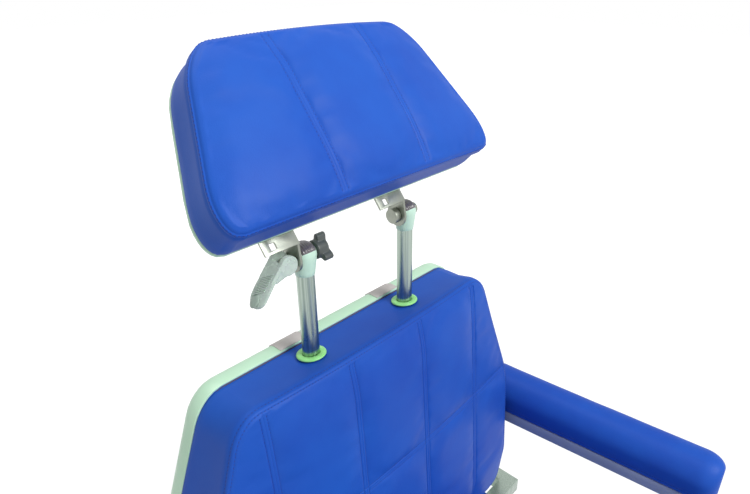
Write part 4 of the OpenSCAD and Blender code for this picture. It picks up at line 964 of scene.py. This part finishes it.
def surface(name, dark, light, rough, spread, cloud=9.0, grain=None, brush=None, dust=0.0, bump=None, **more):
    """A material whose tone and roughness wander a little, with an optional grain, brushing or dust."""
    material = bpy.data.materials.new(name)
    material.use_nodes = True
    tree = material.node_tree
    shader = tree.nodes["Principled BSDF"]
    tone = effect(tree, "brushing", Stretch=brush, Contrast=2.2) if brush else \
        effect(tree, "cloud", Scale=cloud, Contrast=1.4)
    colour = blend_colours(tree, tone, (*dark, 1), (*light, 1))
    if dust:
        colour = blend_colours(tree, effect(tree, "dust", Amount=dust), colour, (0.55, 0.53, 0.5, 1))
    tree.links.new(colour, shader.inputs["Base Color"])
    wander = effect(tree, "cloud", Scale=cloud * 2.3, Contrast=1.6)
    tree.links.new(mapped(tree, wander, 0.0, 1.0, rough - spread, rough + spread), shader.inputs["Roughness"])
    if grain or bump:
        scale, strength, reach = grain or bump
        height = effect(tree, "grain", Scale=scale) if grain else effect(tree, "cloud", Scale=scale, Contrast=1.0)
        raised = node(tree, "Bump", Strength=strength, Distance=reach, Height=height)
        tree.links.new(raised.outputs[0], shader.inputs["Normal"])
    for key, value in more.items():
        shader.inputs[key.replace("_", " ")].default_value = value
    MATERIALS[name] = material


surface("vinyl", (0.012, 0.055, 0.38), (0.016, 0.108, 0.52), 0.5, 0.05, cloud=3.6, grain=(620.0, 0.16, 0.0004),
        Specular_IOR_Level=0.15, Coat_Weight=0.03, Coat_Roughness=0.45)
surface("thread", (0.006, 0.016, 0.16), (0.012, 0.03, 0.24), 0.62, 0.05, cloud=300.0)
surface("shell", (0.47, 0.72, 0.52), (0.56, 0.8, 0.6), 0.34, 0.07, bump=(420.0, 0.05, 0.0003), Subsurface_Weight=0.12,
        Subsurface_Radius=(0.004, 0.006, 0.004), Coat_Weight=0.1)
surface("collar", (0.28, 0.72, 0.22), (0.36, 0.82, 0.3), 0.32, 0.06, cloud=40.0, Subsurface_Weight=0.2,
        Subsurface_Radius=(0.002, 0.004, 0.002))
surface("clamp", (0.5, 0.72, 0.57), (0.6, 0.82, 0.67), 0.33, 0.07, cloud=30.0, bump=(600.0, 0.06, 0.0002),
        Coat_Weight=0.15)
surface("plywood", (0.11, 0.075, 0.05), (0.2, 0.145, 0.1), 0.6, 0.08, brush=(30.0, 3.0, 700.0))
surface("steel", (0.22, 0.28, 0.24), (0.52, 0.61, 0.54), 0.3, 0.06, brush=(520.0, 520.0, 1.5), Metallic=1.0,
        Anisotropic=0.5)
surface("plated", (0.24, 0.26, 0.22), (0.36, 0.38, 0.33), 0.4, 0.08, cloud=45.0, Metallic=1.0)
surface("white_coat", (0.66, 0.69, 0.67), (0.74, 0.77, 0.75), 0.36, 0.07, dust=0.18, bump=(900.0, 0.07, 0.0003))
surface("grey_coat", (0.13, 0.14, 0.145), (0.18, 0.19, 0.2), 0.46, 0.08, dust=0.3, bump=(900.0, 0.1, 0.0003))
surface("zinc", (0.42, 0.42, 0.41), (0.66, 0.66, 0.63), 0.32, 0.1, cloud=90.0, Metallic=1.0)
surface("black", (0.012, 0.012, 0.014), (0.024, 0.024, 0.027), 0.42, 0.08, dust=0.12, bump=(800.0, 0.12, 0.0003))
surface("grey", (0.17, 0.18, 0.19), (0.23, 0.24, 0.25), 0.42, 0.08, dust=0.2, bump=(800.0, 0.1, 0.0003))
surface("dark", (0.028, 0.032, 0.032), (0.05, 0.056, 0.056), 0.36, 0.09, cloud=60.0, bump=(700.0, 0.1, 0.0002))
surface("lever", (0.5, 0.61, 0.54), (0.66, 0.77, 0.69), 0.26, 0.06, cloud=50.0, Subsurface_Weight=0.35,
        Subsurface_Radius=(0.006, 0.008, 0.006), Transmission_Weight=0.15, Coat_Weight=0.2)
surface("lever_dark", (0.3, 0.4, 0.33), (0.38, 0.48, 0.41), 0.2, 0.05, cloud=50.0, Coat_Weight=0.3)
surface("knob_grey", (0.05, 0.058, 0.055), (0.085, 0.097, 0.092), 0.36, 0.09, cloud=60.0, Specular_IOR_Level=0.45)
surface("smoke", (0.085, 0.075, 0.085), (0.14, 0.125, 0.135), 0.24, 0.06, cloud=60.0, Coat_Weight=0.5)
surface("rubber", (0.012, 0.012, 0.012), (0.022, 0.022, 0.021), 0.78, 0.08, dust=0.3)
surface("strap", (0.52, 0.47, 0.46), (0.62, 0.57, 0.55), 0.62, 0.06, cloud=40.0, grain=(900.0, 0.25, 0.0004))
surface("tray", (0.33, 0.37, 0.46), (0.4, 0.44, 0.54), 0.44, 0.07, bump=(700.0, 0.1, 0.0003))
surface("rocker", (0.03, 0.03, 0.034), (0.05, 0.05, 0.056), 0.34, 0.07, cloud=60.0)


# Building

# Where the frames' hinge plates, levers and cross tubes pass the shells
BACK_DEEP = BACK_REAR + SHELL_T
PLATE_X = 292.0
LEVER_SLOT_X = -133.5
CROSS_NEAR = (68.5, 96.5)

back_cushion()
pad("head_pad", HEAD_LINE, HEAD, "head", ["head_cushion"], head_face, HEAD_REAR + HEAD_SHELL_T, HEAD_SEAM_X, [],
    RIDGE_BORDER, step=8.0, stitch_rings=(6,), seed=11.0)
pad("leg_pad", LEG_LINE, LEG, "leg", ["leg_cushion"], leg_face, PAD_FLOOR, SEAM_X, [END_GAP + LEG_LEN / 2],
    TWIN_BORDER, skirt=SKIRT, seed=21.0)
pad("seat_pad", Outline(seat_half, 0.0, SEAT_RUN, 5, 5), SEAT, "seat", ["seat_cushion"], seat_face, -SEAT_DEEP,
    SEAM_X, [SEAT_RUN / 2], TWIN_BORDER, seed=31.0, bend=bend_seat)
for side, word in SIDES:
    arm_cushion(side, word)
shell("back_cover", BACK_LINE, BACK, "back", "back_shell", -BACK_REAR, SHELL_T, 13.0, 3.0,
      *[((x - 4.5, 0, 3 - BACK_DEEP), (x + 4.5, CROSS_NEAR[1], 1 - BACK_REAR)) for x in (-PLATE_X, PLATE_X)],
      ((LEVER_SLOT_X, 0, -BACK_DEEP - 1), (LEVER_SLOT_X + 15, 70, 1 - BACK_REAR)))
shell("head_cover", HEAD_LINE, HEAD, "head", "head_shell", HEAD_REAR + HEAD_SHELL_T, HEAD_SHELL_T, 4.0, 3.0)
shell("leg_cover", LEG_LINE, LEG, "leg", "leg_shell", PAD_FLOOR, NOSE_R + PAD_FLOOR, 12.6, 3.0,
      ((-300, CROSS_NEAR[0], 3 - NOSE_R), (300, CROSS_NEAR[1], PAD_FLOOR - 10.5)),
      ((LEVER_SLOT_X, 50, -NOSE_R - 1), (LEVER_SLOT_X + 31, CROSS_NEAR[1], PAD_FLOOR)))
shell("base_housing", Outline(base_half, -BASE_FRONT, BASE_REAR, 60, 60),
      local_frame((0, BACK_Y, 0), (1, 0, 0), (0, 1, 0), (0, 0, -1)), "base", "base_cover", -COVER_LOW,
      COVER_TOP - COVER_LOW, 16.0, 4.0, ((-81, -COLUMN_N - 61, -140), (81, -COLUMN_N + 61, -90)),
      ((-230, 66, -87), (-219, 94, -63)))
square_tube("column_outer_tube",
            [(160, 120, 8, 55), (160, 120, 8, COLUMN_TOP - 1), (159, 119, 7.5, COLUMN_TOP), (151, 111, 4, COLUMN_TOP),
             (150, 110, 3.5, COLUMN_TOP - 1), (150, 110, 3.5, 55)], "white_paint", "white_coat", ["column_outer"], 30)
square_tube("column_gasket",
            [(166, 126, 10, 130.2), (180, 140, 16, 130.2), (180, 140, 16, 132.5), (177, 137, 15, 134),
             (170, 130, 12, 136), (162.4, 122.4, 8.5, 136.4), (161, 121, 8, 135.8), (161, 121, 8, 130.2)],
            "black_plastic", "black", (), 40)
for fitting in (post, collar, clamp):
    for side, word in SIDES:
        fitting(side, word)
knob()
lever()
for finish, widths in HARD_NODES.items():
    for part, width in widths.items():
        dressed(part, finish, width)


# Camera, light and stage

FLOOR_REACH = 14.0


def camera():
    """The photograph's camera, solved from the bed's own lines in it."""
    data = bpy.data.cameras.new("camera")
    data.lens, data.sensor_width, data.sensor_fit = 28.88, 36.0, "HORIZONTAL"
    data.shift_x = -42.5 / 750
    data.clip_start, data.clip_end = 0.02, 60
    forward = Vector((0.680, 0.582, -0.446)).normalized()
    right = Vector((forward.y, -forward.x, 0)).normalized()
    down = forward.cross(right)
    roll = radians(-0.974)
    across = right * cos(roll) + down * sin(roll)
    drop = down * cos(roll) - right * sin(roll)
    rows = [(across[i], -drop[i], -forward[i], (-475.4, -88.6, 1575.6)[i] * MM) for i in range(3)]
    SCENE.camera = placed("camera", data)
    SCENE.camera.matrix_world = Matrix(rows + [(0, 0, 0, 1)])


def area(name, place, target, size, power):
    data = bpy.data.lights.new(name, "AREA")
    data.shape, data.size, data.energy = "DISK", size, power
    lamp = placed(name, data)
    lamp.location = place
    lamp.rotation_euler = (Vector(target) - Vector(place)).to_track_quat("-Z", "Y").to_euler()
    return lamp


def looked_at(tree):
    """1 for rays from the camera or off metal and glass, 0 for rays that light the bed."""
    paths = node(tree, "LightPath").outputs
    seen = maths(tree, "MAXIMUM", paths["Is Camera Ray"], paths["Is Glossy Ray"])
    return maths(tree, "MAXIMUM", seen, paths["Is Transmission Ray"])


def backdrop():
    """A pale floor that shows the bed's shadow near its foot and turns plain white further out."""
    mesh = bpy.data.meshes.new("floor")
    mesh.from_pydata([(x * FLOOR_REACH, y * FLOOR_REACH, 0) for x, y in ((-1, -1), (1, -1), (1, 1), (-1, 1))], [],
                     [(0, 1, 2, 3)])
    material = bpy.data.materials.new("floor")
    material.use_nodes = True
    tree = material.node_tree
    tree.nodes.clear()
    lit = node(tree, "BsdfDiffuse", Color=(0.9, 0.9, 0.9, 1))
    glow = node(tree, "Emission", Color=(1, 1, 1, 1), Strength=1.25)
    place = node(tree, "NewGeometry").outputs["Position"]
    far = node(tree, "VectorMath", {"operation": "LENGTH"}, i0=place).outputs["Value"]
    share = maths(tree, "MULTIPLY", mapped(tree, far, 0.9, 2.6, 0.55, 1.0), looked_at(tree))
    mix = node(tree, "MixShader", i0=share, i1=lit.outputs[0], i2=glow.outputs[0])
    node(tree, "OutputMaterial", Surface=mix.outputs[0])
    mesh.materials.append(material)
    return placed("floor", mesh)


def surroundings():
    SCENE.world = bpy.data.worlds.new("surroundings")
    SCENE.world.use_nodes = True
    tree = SCENE.world.node_tree
    tree.nodes.clear()
    soft = node(tree, "Background", Color=(0.93, 0.97, 1, 1), Strength=0.32)
    white = node(tree, "Background", Color=(1, 1, 1, 1), Strength=1.0)
    mix = node(tree, "MixShader", i0=looked_at(tree), i1=soft.outputs[0], i2=white.outputs[0])
    node(tree, "OutputWorld", Surface=mix.outputs[0])


camera()
surroundings()
backdrop()
area("key", (0.6, -2.9, 3.9), (0, 0.3, 1.1), 2.0, 158)
area("fill", (-3.0, -1.6, 2.3), (0, 0.3, 1.0), 2.6, 8)
area("top", (-0.2, 1.2, 3.9), (0, 0.3, 1.0), 2.2, 34)
SCENE.view_settings.view_transform = "Standard"
SCENE.view_settings.look = "None"
